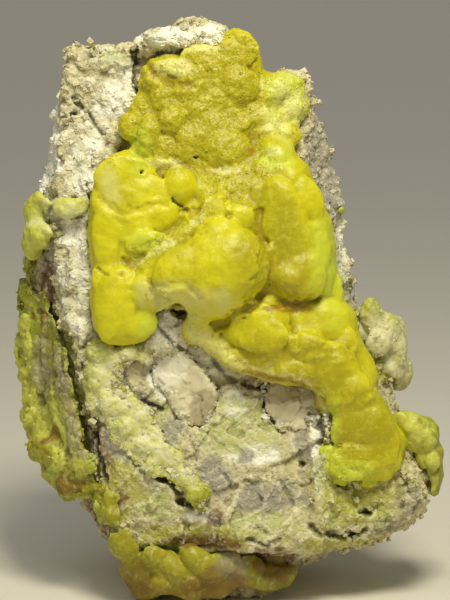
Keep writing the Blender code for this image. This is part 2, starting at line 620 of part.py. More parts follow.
def build_fluorite(name, block, planes):
    """One cleaved crystal: a block with its corners cleaved off, turned in the rock."""
    centre, size, turns = block
    bm = bmesh.new()
    bmesh.ops.create_cube(bm, size=1.0, matrix=Matrix.Diagonal((size[0] * MM, size[1] * MM, size[2] * MM, 1.0)))
    for (across, out, up), distance in planes:
        direction = place(across, out, up).normalized()
        cut = bmesh.ops.bisect_plane(
            bm,
            geom=[*bm.verts, *bm.edges, *bm.faces],
            plane_co=direction * distance * MM,
            plane_no=direction,
            clear_outer=True,
        )
        rim = [item for item in cut["geom_cut"] if isinstance(item, bmesh.types.BMEdge)]
        bmesh.ops.contextual_create(bm, geom=rim)
    turned = Matrix.Translation(place(*centre))
    for angle, axis in zip(turns, "XYZ"):
        turned = turned @ Matrix.Rotation(math.radians(angle), 4, axis)
    bmesh.ops.transform(bm, matrix=turned, verts=bm.verts)
    mesh = to_mesh(bm, name)
    mesh.transform(stand_up())
    return add_piece(name, mesh, "fluorite")


def main():
    """Builds the specimen."""
    for obj in list(bpy.data.objects):
        bpy.data.objects.remove(obj)
    for name in (SPECIMEN, CUTTERS):
        bpy.context.scene.collection.children.link(bpy.data.collections.new(name))

    rock = build_rock()
    crystals = [build_fluorite(*fluorite) for fluorite in FLUORITES]
    in_the_way = [fattened(crystal, GAP) for crystal in crystals]
    for clearance in in_the_way:
        boolean(rock, clearance, "DIFFERENCE")
    keep_main_body(rock)
    in_the_way.append(fattened(rock, GAP))
    tool = build_break()
    for name, groups, triangles, mineral in CRUSTS:
        cutters = [tool, *in_the_way] if name == "front_crust" else in_the_way
        crust = build_crust(name, groups, triangles, mineral, cutters)
        in_the_way.append(fattened(crust, GAP))


main()
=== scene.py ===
"""The looks of a smithsonite and fluorite specimen.

A block of pale granular rock stands on its broken foot. A thick yellow crust of smithsonite runs down
its front and green crusts sit on its flanks and foot, each with its own skin of lobes, grains and hollows
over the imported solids. Lengths are in millimetres in the face frame, unless a comment says otherwise:
across to the right, out to the viewer and up the face, which leans back a little.
"""

from __future__ import annotations

import json
import logging
import math
from dataclasses import dataclass, field, replace
from enum import Enum

import bmesh
import bpy
import numpy as np
from mathutils import Matrix, Vector
from mathutils.bvhtree import BVHTree

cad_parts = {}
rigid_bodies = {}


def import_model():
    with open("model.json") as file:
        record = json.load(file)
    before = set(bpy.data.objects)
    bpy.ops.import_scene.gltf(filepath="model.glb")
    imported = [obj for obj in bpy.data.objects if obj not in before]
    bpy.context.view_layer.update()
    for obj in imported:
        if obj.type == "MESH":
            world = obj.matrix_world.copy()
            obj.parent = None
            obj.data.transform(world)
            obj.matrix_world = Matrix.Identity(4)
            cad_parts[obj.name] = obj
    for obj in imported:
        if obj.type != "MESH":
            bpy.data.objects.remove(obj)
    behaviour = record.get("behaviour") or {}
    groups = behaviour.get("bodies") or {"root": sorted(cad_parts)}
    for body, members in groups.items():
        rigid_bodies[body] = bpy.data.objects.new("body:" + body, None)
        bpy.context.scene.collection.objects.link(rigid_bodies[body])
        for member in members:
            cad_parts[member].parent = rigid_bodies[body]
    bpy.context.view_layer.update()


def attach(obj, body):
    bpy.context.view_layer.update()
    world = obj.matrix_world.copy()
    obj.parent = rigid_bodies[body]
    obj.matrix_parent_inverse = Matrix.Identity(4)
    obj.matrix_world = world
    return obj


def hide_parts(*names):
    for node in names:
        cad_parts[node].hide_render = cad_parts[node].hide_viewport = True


Array = np.ndarray
Place = tuple[float, float, float]

LOG = logging.getLogger("specimen")
MM = 0.001
FACE_LEAN = math.radians(9.0)  # the front leans back this much from upright
FOOT_FRONT_OUT = 8.0  # the face height of zero is the floor this far out
ROOT = "root"
COARSE = 1.0

FINE, MIDDLING, BROAD = 1.2, 2.6, 6.0  # the sizes of the noise that makes edges ragged
VIEW_OUT = 60.0  # lobes are placed by a ray that starts this far out, clear of the specimen
EDGE_OUT = 55.0  # how far along that ray the search for a crust's edge starts
EDGE_SUNK = 0.5  # how far below the crust's face a lobe at its edge sits
EDGE_REACH = 0.9  # how far past the edge a lobe can sit, as a share of the smaller of its halves
LEAST_THICK = 1.5  # half a lobe's thickness is at least this many times what stands proud
WIDEST = 1.08  # the most that a lobe is widened to keep its size where the crust cuts it
PIT_DEPTH = 1.2  # how deep a pit or speck goes at its middle
CLOSE_STEPS, WIDE_STEPS, VALLEY_STEPS = 4, 24, 90  # how far round a point its hollows are judged
KEPT_LEVELS = 4  # the steps between thinning a mesh and keeping it dense
TOUCHING = 1.2  # a grain this near another piece counts as beside it
TRIES = 4  # the places looked at for each grain
OFF_FLOOR = (1.8, 3.0)  # the heights between which grains begin
FINER, DEEPER = 0.45, 0.15  # how much smaller and lower grains are where they are fine


# Number patterns in space


class Lattice:
    """A block of random numbers that repeats in space, from which noise and cells are made."""

    SIDE = 64

    def __init__(self, seed: int) -> None:
        """Fills the block from a seed."""
        self.numbers = np.random.default_rng(seed).random((self.SIDE,) * 3 + (3,)).astype(np.float32)

    def at(self, index: Array) -> Array:
        """The three numbers at each whole place, an array of n by 3."""
        wrapped = index & (self.SIDE - 1)
        return self.numbers[wrapped[:, 0], wrapped[:, 1], wrapped[:, 2]]


def smooth_noise(points: Array, size: float, seed: int) -> Array:
    """Soft noise from -1 to 1.

    Args:
        points: n by 3, in millimetres.
        size: the width of its lumps, in millimetres.
        seed: picks the pattern.

    Returns:
        One value for each point.
    """
    lattice = Lattice(seed)
    scaled = points / size
    base = np.floor(scaled).astype(np.int64)
    part = (scaled - base).astype(np.float32)
    part = part * part * (3.0 - 2.0 * part)
    total = np.zeros(len(points), np.float32)
    for corner in np.ndindex(2, 2, 2):
        step = np.array(corner)
        share = np.prod(np.where(step == 1, part, 1.0 - part), axis=1)
        total += share * lattice.at(base + step)[:, 0]
    return total * 2.0 - 1.0


def layered_noise(points: Array, size: float, seed: int, layers: int = 3) -> Array:
    """Noise in several layers, each half as wide and high as the one before, from about -1 to 1.

    Args:
        points: n by 3, in millimetres.
        size: the width of the broadest lumps, in millimetres.
        seed: picks the pattern.
        layers: how many layers there are.

    Returns:
        One value for each point.
    """
    total = np.zeros(len(points), np.float32)
    for layer in range(layers):
        total += smooth_noise(points, size / 2**layer, seed + layer) / 2**layer
    return total / 1.5


@dataclass
class Cells:
    """Random cells: each point's distance and way from its cell's middle, and the cell's own numbers."""

    nearest: Array
    offset: Array
    pick: Array


def find_cells(points: Array, size: float, seed: int) -> Cells:
    """Finds each point's cell.

    Args:
        points: n by 3, in millimetres.
        size: the width of a cell, in millimetres.
        seed: picks the pattern.

    Returns:
        The cells, with distances and offsets in cell widths.
    """
    middles, picks = Lattice(seed), Lattice(seed + 1000)
    scaled = (points / size).astype(np.float32)
    base = np.floor(scaled).astype(np.int64)
    count = len(points)
    nearest = np.full(count, 9.0, np.float32)
    offset = np.zeros((count, 3), np.float32)
    pick = np.zeros((count, 3), np.float32)
    for step in np.ndindex(3, 3, 3):
        place = base + np.array(step) - 1
        away = scaled - (place + middles.at(place))
        distance = np.sqrt((away * away).sum(axis=1))
        closer = distance < nearest
        nearest = np.where(closer, distance, nearest)
        offset[closer] = away[closer]
        pick[closer] = picks.at(place[closer])
    return Cells(nearest, offset, pick)


def ramp(values: Array, low: float, high: float) -> Array:
    """Zero at low and one at high, eased between them."""
    share = np.clip((values - low) / (high - low), 0.0, 1.0)
    return share * share * (3.0 - 2.0 * share)


def domes(points: Array, size: float, seed: int) -> Array:
    """Round grains packed side by side: one on top of each grain, down to zero between them."""
    return np.sqrt(np.clip(1.0 - find_cells(points, size, seed).nearest ** 2 * 1.6, 0.0, 1.0))


def chips(points: Array, size: float, seed: int) -> Array:
    """Flat facets, each tilted its own way, as where a stone has broken: from about -0.5 to 0.5."""
    cell = find_cells(points, size, seed)
    return (cell.offset * (cell.pick * 2.0 - 1.0)).sum(axis=1) + 0.35 * (cell.pick[:, 0] - 0.5)


# The face frame and what is placed in it


def stand_up() -> Matrix:
    """The matrix from the face frame, as metres along X, Y and Z, to the world.

    Returns:
        The matrix.
    """
    lean = Matrix.Rotation(-FACE_LEAN, 4, "X")
    foot = lean @ Vector((0.0, -FOOT_FRONT_OUT * MM, 0.0))
    return Matrix.Translation((0.0, 0.0, -foot.z)) @ lean


STAND_UP = stand_up()


def to_face(points: Array) -> Array:
    """World points in metres as across, out and up, in millimetres.

    Args:
        points: n by 3, in metres.

    Returns:
        The same points in the face frame, n by 3.
    """
    back = np.array(STAND_UP.inverted())
    local = points @ back[:3, :3].T + back[:3, 3]
    return np.column_stack((local[:, 0], -local[:, 1], local[:, 2])) / MM


def from_face(across: float, out: float, up: float) -> Vector:
    """A place of the face frame in the world, in metres."""
    return STAND_UP @ (Vector((across, -out, up)) * MM)


def face_way(across: float, out: float, up: float) -> Vector:
    """A direction of the face frame in the world, of length one."""
    return (STAND_UP.to_3x3() @ Vector((across, -out, up))).normalized()


def read(items: bpy.types.bpy_prop_collection, name: str, width: int, kind: type = np.float64) -> Array:
    """Reads one property of every item into an array of n by width.

    Args:
        items: the mesh's points, edges or values.
        name: the property.
        width: how many numbers each item has.
        kind: the numbers' type.

    Returns:
        The values.
    """
    values = np.empty(len(items) * width, kind)
    items.foreach_get(name, values)
    return values.reshape(-1, width)


class Surface:
    """A dense mesh as arrays: its points in millimetres, its normals and its places in the face frame."""

    def __init__(self, obj: bpy.types.Object) -> None:
        """Reads the object's mesh.

        Args:
            obj: the object, whose mesh is read and later changed.
        """
        self.mesh = obj.data
        self.wandering: dict[float, Array] = {}
        self.points = read(self.mesh.vertices, "co", 3) / MM
        self.links = read(self.mesh.edges, "vertices", 2, np.int32)
        count = len(self.points)
        self.link_count = np.bincount(self.links.ravel(), minlength=count).clip(1)
        self.settle()

    def settle(self) -> None:
        """Writes the points to the mesh and reads the normals that they make."""
        self.mesh.vertices.foreach_set("co", (self.points * MM).ravel())
        self.mesh.update()
        self.normals = read(self.mesh.vertices, "normal", 3)
        self.face = to_face(self.points * MM)

    def wander(self, size: float) -> Array:
        """Soft noise of one size all over the surface, kept once it is made, which makes edges ragged.

        Args:
            size: the width of its lumps, in millimetres.

        Returns:
            One value for each point.
        """
        if size not in self.wandering:
            self.wandering[size] = layered_noise(self.points, size, 71)
        return self.wandering[size]

    def even(self, values: Array, steps: int) -> Array:
        """Spreads values over their neighbours, step by step.

        Args:
            values: one value or one row for each point.
            steps: how many steps they spread.

        Returns:
            The even values, in the same form.
        """
        ends = np.concatenate((self.links[:, 0], self.links[:, 1]))
        others = np.concatenate((self.links[:, 1], self.links[:, 0]))
        columns = values.reshape(len(values), -1).astype(np.float64)
        for _ in range(steps):
            sums = [np.bincount(ends, column[others], len(column)) for column in columns.T]
            columns = 0.5 * columns + 0.5 * np.column_stack(sums) / self.link_count[:, None]
        return columns.reshape(values.shape)

    def push(self, heights: Array) -> None:
        """Moves each point out along its normal by its height, and finds the new normals."""
        self.points += self.normals * heights[:, None]
        self.settle()

    def raise_domes(self, heights: float | Array, size: float, seed: int, level: float = 0.6) -> None:
        """Raises round grains, packed side by side, and sinks what lies below their level."""
        self.push(heights * (domes(self.points, size, seed) - level))

    def stand(self) -> None:
        """Flattens what would reach below the floor."""
        self.points[:, 2] = self.points[:, 2].clip(min=0.0)
        self.settle()

    def soften(self, steps: int) -> None:
        """Rounds the whole skin."""
        self.points = self.even(self.points, steps)
        self.settle()

    def hollow(self, steps: int) -> Array:
        """How far each point lies below its surroundings, in millimetres, and below zero on a ridge."""
        return ((self.even(self.points, steps) - self.points) * self.normals).sum(axis=1)

    def facing(self, across: float, out: float, up: float) -> Array:
        """How squarely the surface looks along a direction of the face frame, from -1 to 1."""
        return self.normals @ np.array(face_way(across, out, up))

    def leave(self, mark: Mark, values: Array) -> None:
        """Keeps one value from 0 to 1 for each point, which the materials read by the mark's name."""
        attribute = self.mesh.attributes.new(mark.value, "FLOAT", "POINT")
        attribute.data.foreach_set("value", np.clip(values, 0.0, 1.0).astype(np.float32))


class View(Enum):
    """A side to place features from: how far round to the right the viewer has walked, in degrees."""

    FRONT = 0.0
    RIGHT = 52.0
    BACK = 180.0
    LEFT = -56.0

    def right(self) -> Array:
        """The direction to the viewer's right, as across, out and up."""
        return np.array((math.cos(math.radians(self.value)), -math.sin(math.radians(self.value)), 0.0))

    def towards(self) -> Array:
        """The direction to the viewer, as across, out and up."""
        return np.array((math.sin(math.radians(self.value)), math.cos(math.radians(self.value)), 0.0))

    def seen(self, surface: Surface) -> Array:
        """One where the surface can be seen from this side and zero behind."""
        return ramp(surface.facing(*self.towards()), -0.3, 0.1)


class Placed:
    """Something that is placed from one side."""

    @classmethod
    def rows(cls, *rows: tuple[float, ...], view: View = View.FRONT) -> tuple:
        """Makes several from rows of numbers.

        Args:
            rows: for each, its first numbers, in the order of the attributes.
            view: the side that they are placed from.

        Returns:
            One for each row, in the same order.
        """
        return tuple(cls(*row, view=view) for row in rows)


@dataclass(frozen=True)
class Patch(Placed):
    """A soft oval with a ragged edge, as the viewer sees it from one side."""

    across: float
    up: float
    half_width: float
    half_height: float
    turn: float = 0.0
    ragged: float = 0.5
    soft: float = 0.2
    view: View = View.FRONT

    def weight(self, surface: Surface) -> Array:
        """One inside the patch and zero outside, for each point of a surface.

        Args:
            surface: the piece's dense mesh.

        Returns:
            The weights.
        """
        angle = math.radians(self.turn)
        x = surface.face @ self.view.right() - self.across
        y = surface.face[:, 2] - self.up
        along = (x * math.cos(angle) + y * math.sin(angle)) / self.half_width
        over = (y * math.cos(angle) - x * math.sin(angle)) / self.half_height
        reach = np.sqrt(along**2 + over**2)
        smaller = min(self.half_width, self.half_height)
        size = FINE if smaller < 1.6 else MIDDLING if smaller < 5.0 else BROAD
        reach += self.ragged * surface.wander(size)
        return (1.0 - ramp(reach, 1.0 - self.soft, 1.0 + self.soft)) * self.view.seen(surface)


@dataclass(frozen=True)
class Streak:
    """A crack, crease or band along a line, as the viewer sees it from one side.

    Attributes:
        line: its places as (across, up).
        width: how wide it is.
        depth: how deep it cuts.
        dark: how much painted shade darkens it inside, from 0 to 1.
        broken: how much it comes and goes, from 0 to 1.
        view: the side it is seen from.
    """

    line: tuple[tuple[float, float], ...]
    width: float
    depth: float = 0.0
    dark: float = 1.0
    broken: float = 0.5
    view: View = View.FRONT

    def weight(self, surface: Surface) -> Array:
        """One along its middle and zero at its edges.

        Args:
            surface: the piece's dense mesh.

        Returns:
            The weights, one for each point.
        """
        place = np.column_stack((surface.face @ self.view.right(), surface.face[:, 2]))
        place += 0.9 * surface.wander(MIDDLING)[:, None] * np.array((1.0, -0.6))
        place += 0.5 * surface.wander(FINE)[:, None] * np.array((-0.5, 1.0))
        nearest = np.full(len(place), 99.0)
        for start, end in zip(self.line, self.line[1:]):
            first, way = np.array(start), np.array(end) - np.array(start)
            share = np.clip(((place - first) @ way) / (way @ way), 0.0, 1.0)
            nearest = np.minimum(nearest, np.linalg.norm(place - first - share[:, None] * way, axis=1))
        ragged = nearest * (1.0 + 0.8 * surface.wander(FINE))
        inside = 1.0 - ramp(ragged, 0.2 * self.width, 0.75 * self.width)
        kept = 1.0 - self.broken * ramp(surface.wander(MIDDLING), 0.0, 0.35)
        return inside * kept * self.view.seen(surface)


def strongest(features: tuple, surface: Surface) -> Array:
    """The strongest weight of several patches or cracks at each point.

    Args:
        features: patches and streaks.
        surface: the piece's dense mesh.

    Returns:
        The weights, from 0 to 1.
    """
    weight = np.zeros(len(surface.points))
    for feature in features:
        weight = np.maximum(weight, feature.weight(surface))
    return weight


@dataclass(frozen=True)
class Lobe(Placed):
    """A rounded growth on a crust, placed from one side.

    Attributes:
        across: its middle.
        up: its middle.
        half_width: half its width.
        half_height: half its height.
        proud: how far it stands out of the crust.
        turn: its turn on the face, in degrees.
        domed: half its thickness, as a share of the smaller of its other halves.
        view: the side it is seen from.
    """

    across: float
    up: float
    half_width: float
    half_height: float
    proud: float
    turn: float = 0.0
    domed: float = 0.22
    view: View = View.FRONT

    def matrix(self, hull: BVHTree) -> Matrix | None:
        """The matrix that makes it from a ball of radius one, placed on a crust, or nothing if it misses.

        Args:
            hull: the crust's mesh.

        Returns:
            The matrix, in metres.
        """
        towards, right = self.view.towards(), self.view.right()
        start = right * self.across + towards * VIEW_OUT
        start = from_face(start[0], start[1], self.up)
        way = -face_way(*towards)
        place, normal, _, _ = hull.ray_cast(start, way)
        if place is None:
            place, normal = self._beside(hull, start, way), -way
        if place is None:
            return None
        normal = (normal - way).normalized()
        thick = max(LEAST_THICK * self.proud, self.domed * min(self.half_width, self.half_height))
        wider = min(WIDEST, 1.0 / math.sqrt(1.0 - (1.0 - self.proud / thick) ** 2))
        over = face_way(*right)
        over = (over - over.dot(normal) * normal).normalized()
        high = normal.cross(over)
        axes = Matrix((over, high, normal)).transposed().to_4x4()
        turned = Matrix.Rotation(math.radians(self.turn), 4, "Z")
        halves = (wider * self.half_width, wider * self.half_height, thick)
        sizes = Matrix.Diagonal((*(half * MM for half in halves), 1.0))
        middle = Matrix.Translation(place + normal * (self.proud - thick) * MM)
        return middle @ axes @ turned @ sizes

    def _beside(self, hull: BVHTree, start: Vector, way: Vector) -> Vector | None:
        """The place just past the crust's edge and a little below its face, if that is near enough.

        Args:
            hull: the crust's mesh.
            start: where the ray starts, in metres.
            way: the ray's direction.

        Returns:
            The place in metres, or nothing.
        """
        place = start + way * EDGE_OUT * MM
        for _ in range(3):
            nearest = hull.find_nearest(place)[0]
            place = start + way * (nearest - start).dot(way)
        if (place - nearest).length > EDGE_REACH * min(self.half_width, self.half_height) * MM:
            return None
        return place + way * EDGE_SUNK * MM


# Materials


def linear(colour: str) -> tuple[float, float, float, float]:
    """An sRGB hex colour as linear red, green, blue and alpha.

    Args:
        colour: the colour as # and six digits.

    Returns:
        The four numbers, from 0 to 1.
    """
    parts = [int(colour[i : i + 2], 16) / 255.0 for i in (1, 3, 5)]
    red, green, blue = (c / 12.92 if c <= 0.04045 else ((c + 0.055) / 1.055) ** 2.4 for c in parts)
    return red, green, blue, 1.0


def add_node(tree: bpy.types.NodeTree, kind: str, settings: dict, links: dict) -> bpy.types.Node:
    """Adds a node.

    Args:
        tree: the material's node tree.
        kind: the node's type.
        settings: its properties by name, and its unlinked inputs by name or number.
        links: the sockets that feed its inputs, by the input's name or number.

    Returns:
        The node.
    """
    node = tree.nodes.new(kind)
    for name, value in settings.items():
        if isinstance(name, str) and hasattr(node, name):
            setattr(node, name, value)
        else:
            node.inputs[name].default_value = value
    for name, socket in links.items():
        tree.links.new(socket, node.inputs[name])
    return node


class Mark(Enum):
    """What a surface keeps for each of its points."""

    # Painted shade in the hollows.
    HOLLOW = "hollow"
    # A painted highlight on ridges and lobe tops.
    CROWN = "crown"
    SUGARY = "sugary"
    GREEN = "green"
    # The stone's pale colour, and painted highlights and painted light in a few patches.
    PALE = "pale"
    GREY = "grey"
    # The crust's olive, and painted shade in a few patches where lobes and the foot lie in shadow.
    OLIVE = "olive"
    # Stains, and painted shadow in a few patches under lobes and crust edges, in a recess and on the foot.
    STAIN = "stain"
    # Painted shade inside the cracks and pits.
    DARK = "dark"
    FRESH = "fresh"


class Pattern(Enum):
    """How a tint is spread where its mark allows it."""

    EVEN = "even"
    BLOTCHES = "blotches"
    GRAINS = "grains"


@dataclass(frozen=True)
class Tint:
    """A colour laid over the ones before it.

    Attributes:
        colour: the colour.
        amount: how much of it shows at most.
        mark: the mark that it follows, if any.
        pattern: how it is spread.
        size: the width of its blotches or grains in millimetres.
        low: the noise value where a blotch starts.
        high: the noise value where it is full; for grains, the share of grains that have it.
    """

    colour: str
    amount: float
    mark: Mark | None = None
    pattern: Pattern = Pattern.EVEN
    size: float = 1.0
    low: float = 0.5
    high: float = 0.65


@dataclass(frozen=True)
class Grain:
    """Fine relief: its grains' width and height, the mark that it follows, if any, and if they are packed."""

    size: float
    height: float
    mark: Mark | None = None
    packed: bool = True


@dataclass(frozen=True)
class StoneFinish:
    """A mineral's look: its colours, its fine relief, its gloss and how far light goes into it."""

    name: str
    base: str
    tints: tuple[Tint, ...]
    grains: tuple[Grain, ...]
    roughness: float
    ior: float
    glow: float
    glow_radius: tuple[float, float, float]
    glow_depth: float
    sparkle_size: float = 0.6
    sparkle_share: float = 0.06
    sparkle_roughness: float = 0.16
    clearness: float = 0.0
    shine: float = 0.5

    def material(self) -> bpy.types.Material:
        """Makes the material.

        Returns:
            A new procedural material.
        """
        made = bpy.data.materials.new(self.name)
        made.use_nodes = True
        tree = made.node_tree
        shader = tree.nodes["Principled BSDF"]
        where = add_node(tree, "ShaderNodeTexCoord", {}, {}).outputs["Object"]
        shader.inputs["IOR"].default_value = self.ior
        shader.inputs["Specular IOR Level"].default_value = self.shine
        shader.inputs["Transmission Weight"].default_value = self.clearness
        shader.inputs["Subsurface Weight"].default_value = self.glow
        shader.inputs["Subsurface Radius"].default_value = self.glow_radius
        shader.inputs["Subsurface Scale"].default_value = self.glow_depth * MM
        tree.links.new(self._colour(tree, where), shader.inputs["Base Color"])
        tree.links.new(self._roughness(tree, where), shader.inputs["Roughness"])
        tree.links.new(self._relief(tree, where), shader.inputs["Normal"])
        return made

    def _colour(self, tree: bpy.types.NodeTree, where: bpy.types.NodeSocket) -> bpy.types.NodeSocket:
        """Lays the tints one over another.

        Args:
            tree: the material's node tree.
            where: the socket of the place in space.

        Returns:
            The colour's socket.
        """
        colour = add_node(tree, "ShaderNodeRGB", {}, {}).outputs[0]
        colour.default_value = linear(self.base)
        for tint in self.tints:
            factor = self._spread(tree, where, tint)
            weak = add_node(tree, "ShaderNodeMath", {"operation": "MULTIPLY", 1: tint.amount}, {0: factor})
            settings = {"data_type": "RGBA", 7: linear(tint.colour)}
            colour = add_node(tree, "ShaderNodeMix", settings, {0: weak.outputs[0], 6: colour}).outputs[2]
        return colour

    def _spread(
        self, tree: bpy.types.NodeTree, where: bpy.types.NodeSocket, tint: Tint
    ) -> bpy.types.NodeSocket:
        """Where a tint shows, by its mark and its pattern.

        Args:
            tree: the material's node tree.
            where: the socket of the place in space.
            tint: the tint.

        Returns:
            The socket of its strength.
        """
        factors = []
        if tint.mark:
            mark = add_node(tree, "ShaderNodeAttribute", {"attribute_name": tint.mark.value}, {})
            factors.append(mark.outputs["Fac"])
        if tint.pattern is Pattern.BLOTCHES:
            settings = {"Scale": 1.0 / (tint.size * MM), "Detail": 4.0, "Roughness": 0.6}
            noise = add_node(tree, "ShaderNodeTexNoise", settings, {"Vector": where}).outputs["Fac"]
            limits = {"From Min": tint.low, "From Max": tint.high}
            factors.append(add_node(tree, "ShaderNodeMapRange", limits, {"Value": noise}).outputs["Result"])
        if tint.pattern is Pattern.GRAINS:
            settings = {"Scale": 1.0 / (tint.size * MM)}
            cells = add_node(tree, "ShaderNodeTexVoronoi", settings, {"Vector": where})
            settings = {"operation": "LESS_THAN", 1: tint.high}
            few = add_node(tree, "ShaderNodeMath", settings, {0: cells.outputs["Color"]})
            factors.append(few.outputs[0])
        factor = factors[0]
        for other in factors[1:]:
            both = add_node(tree, "ShaderNodeMath", {"operation": "MULTIPLY"}, {0: factor, 1: other})
            factor = both.outputs[0]
        return factor

    def _roughness(self, tree: bpy.types.NodeTree, where: bpy.types.NodeSocket) -> bpy.types.NodeSocket:
        """Makes most grains dull and a few of them glint.

        Args:
            tree: the material's node tree.
            where: the socket of the place in space.

        Returns:
            The roughness socket.
        """
        settings = {"Scale": 1.0 / (self.sparkle_size * MM)}
        grains = add_node(tree, "ShaderNodeTexVoronoi", settings, {"Vector": where})
        settings = {"operation": "LESS_THAN", 1: self.sparkle_share}
        glint = add_node(tree, "ShaderNodeMath", settings, {0: grains.outputs["Color"]})
        settings = {"To Min": self.roughness, "To Max": self.sparkle_roughness}
        return add_node(tree, "ShaderNodeMapRange", settings, {"Value": glint.outputs[0]}).outputs["Result"]

    def _relief(self, tree: bpy.types.NodeTree, where: bpy.types.NodeSocket) -> bpy.types.NodeSocket:
        """Stacks the fine grains as bump.

        Args:
            tree: the material's node tree.
            where: the socket of the place in space.

        Returns:
            The normal's socket.
        """
        normal = None
        for grain in self.grains:
            if grain.packed:
                settings = {"Scale": 1.0 / (grain.size * MM)}
                cells = add_node(tree, "ShaderNodeTexVoronoi", settings, {"Vector": where})
                height = cells.outputs["Distance"]
                amount = -grain.height
            else:
                settings = {"Scale": 1.0 / (grain.size * MM), "Detail": 3.0, "Roughness": 0.6}
                height = add_node(tree, "ShaderNodeTexNoise", settings, {"Vector": where}).outputs["Fac"]
                amount = grain.height
            if grain.mark:
                mask = add_node(tree, "ShaderNodeAttribute", {"attribute_name": grain.mark.value}, {})
                links = {0: height, 1: mask.outputs["Fac"]}
                height = add_node(tree, "ShaderNodeMath", {"operation": "MULTIPLY"}, links).outputs[0]
            settings = {"operation": "MULTIPLY", 1: amount * MM}
            height = add_node(tree, "ShaderNodeMath", settings, {0: height}).outputs[0]
            links = {"Height": height}
            if normal:
                links["Normal"] = normal
            bump = add_node(tree, "ShaderNodeBump", {"Distance": 1.0, "Strength": 1.0}, links)
            normal = bump.outputs["Normal"]
        return normal


BLOTCHES, GRAINS = Pattern.BLOTCHES, Pattern.GRAINS

# Smithsonite coloured yellow by cadmium, grown as a waxy skin that light goes a little way into. Its lobes
# carry a painted lemon highlight on top, turn olive where it is sugary and take painted amber shade where
# one lobe shades another.
YELLOW_SMITHSONITE = StoneFinish(
    name="yellow_smithsonite",
    base="#D0CA04",
    tints=(
        Tint("#DDD71C", 0.7, None, BLOTCHES, 5.0, 0.45, 0.65),
        Tint("#B5AB04", 0.7, None, BLOTCHES, 7.0, 0.5, 0.66),
        Tint("#A59A08", 0.85, Mark.OLIVE),
        Tint("#B1A60C", 0.8, Mark.SUGARY, BLOTCHES, 3.0, 0.3, 0.6),
        Tint("#DFD93C", 0.25, None, BLOTCHES, 0.9, 0.5, 0.62),
        Tint("#A59806", 0.2, Mark.SUGARY, GRAINS, 0.45, 0.0, 0.22),
        Tint("#CBC228", 0.3, Mark.SUGARY, GRAINS, 0.5, 0.0, 0.3),
        Tint("#C6D03A", 0.8, Mark.GREEN),
        Tint("#DCD782", 0.75, Mark.PALE),
        # Painted shade, amber, in the hollows and broad valleys.
        Tint("#948204", 0.75, Mark.HOLLOW),
        Tint("#9A7A0C", 0.85, Mark.STAIN),
        # Painted shade inside the cracks and pits.
        Tint("#4A2C0A", 0.95, Mark.DARK),
        # A painted highlight on the crowns of the lobes.
        Tint("#E9E252", 0.3, Mark.CROWN),
    ),
    grains=(
        Grain(1.9, 0.2, None, False),
        Grain(0.9, 0.1, Mark.SUGARY),
        Grain(0.5, 0.07, Mark.SUGARY),
        Grain(0.5, 0.04, None, False),
    ),
    roughness=0.45,
    ior=1.62,
    shine=0.32,
    glow=0.35,
    glow_radius=(1.0, 0.8, 0.12),
    glow_depth=0.9,
    sparkle_size=0.5,
    sparkle_share=0.05,
    sparkle_roughness=0.24,
)

# The same mineral with less cadmium, in thin skins over the rock: olive, darkened by painted shade in its
# hollows and where it lies in shadow, and apple green where it is thick.
GREEN_SMITHSONITE = replace(
    YELLOW_SMITHSONITE,
    name="green_smithsonite",
    base="#A2A520",
    tints=(
        Tint("#B4BC3C", 0.6, None, BLOTCHES, 3.0, 0.45, 0.6),
        Tint("#868014", 0.5, None, BLOTCHES, 4.0, 0.5, 0.64),
        Tint("#7A7414", 0.8, Mark.OLIVE, BLOTCHES, 3.0, 0.3, 0.55),
        Tint("#CBCC55", 0.85, Mark.GREEN, BLOTCHES, 2.4, 0.25, 0.45),
        Tint("#9C940A", 0.85, Mark.SUGARY),
        Tint("#A09676", 0.85, Mark.GREY),
        Tint("#DCD8AC", 0.85, Mark.PALE, BLOTCHES, 1.6, 0.3, 0.5),
        Tint("#D2D285", 0.3, None, GRAINS, 0.6, 0.0, 0.25),
        # Painted shade in the hollows.
        Tint("#5F5518", 0.75, Mark.HOLLOW),
        Tint("#7A5A16", 0.85, Mark.STAIN),
        # Painted shade inside the cracks and pits.
        Tint("#3A2608", 0.9, Mark.DARK),
        # A painted highlight on the crowns.
        Tint("#D6DA86", 0.35, Mark.CROWN),
    ),
    grains=(Grain(1.5, 0.14, None, False), Grain(0.65, 0.07), Grain(0.35, 0.03, None, False)),
    roughness=0.48,
    glow=0.3,
    glow_radius=(0.8, 0.9, 0.15),
)

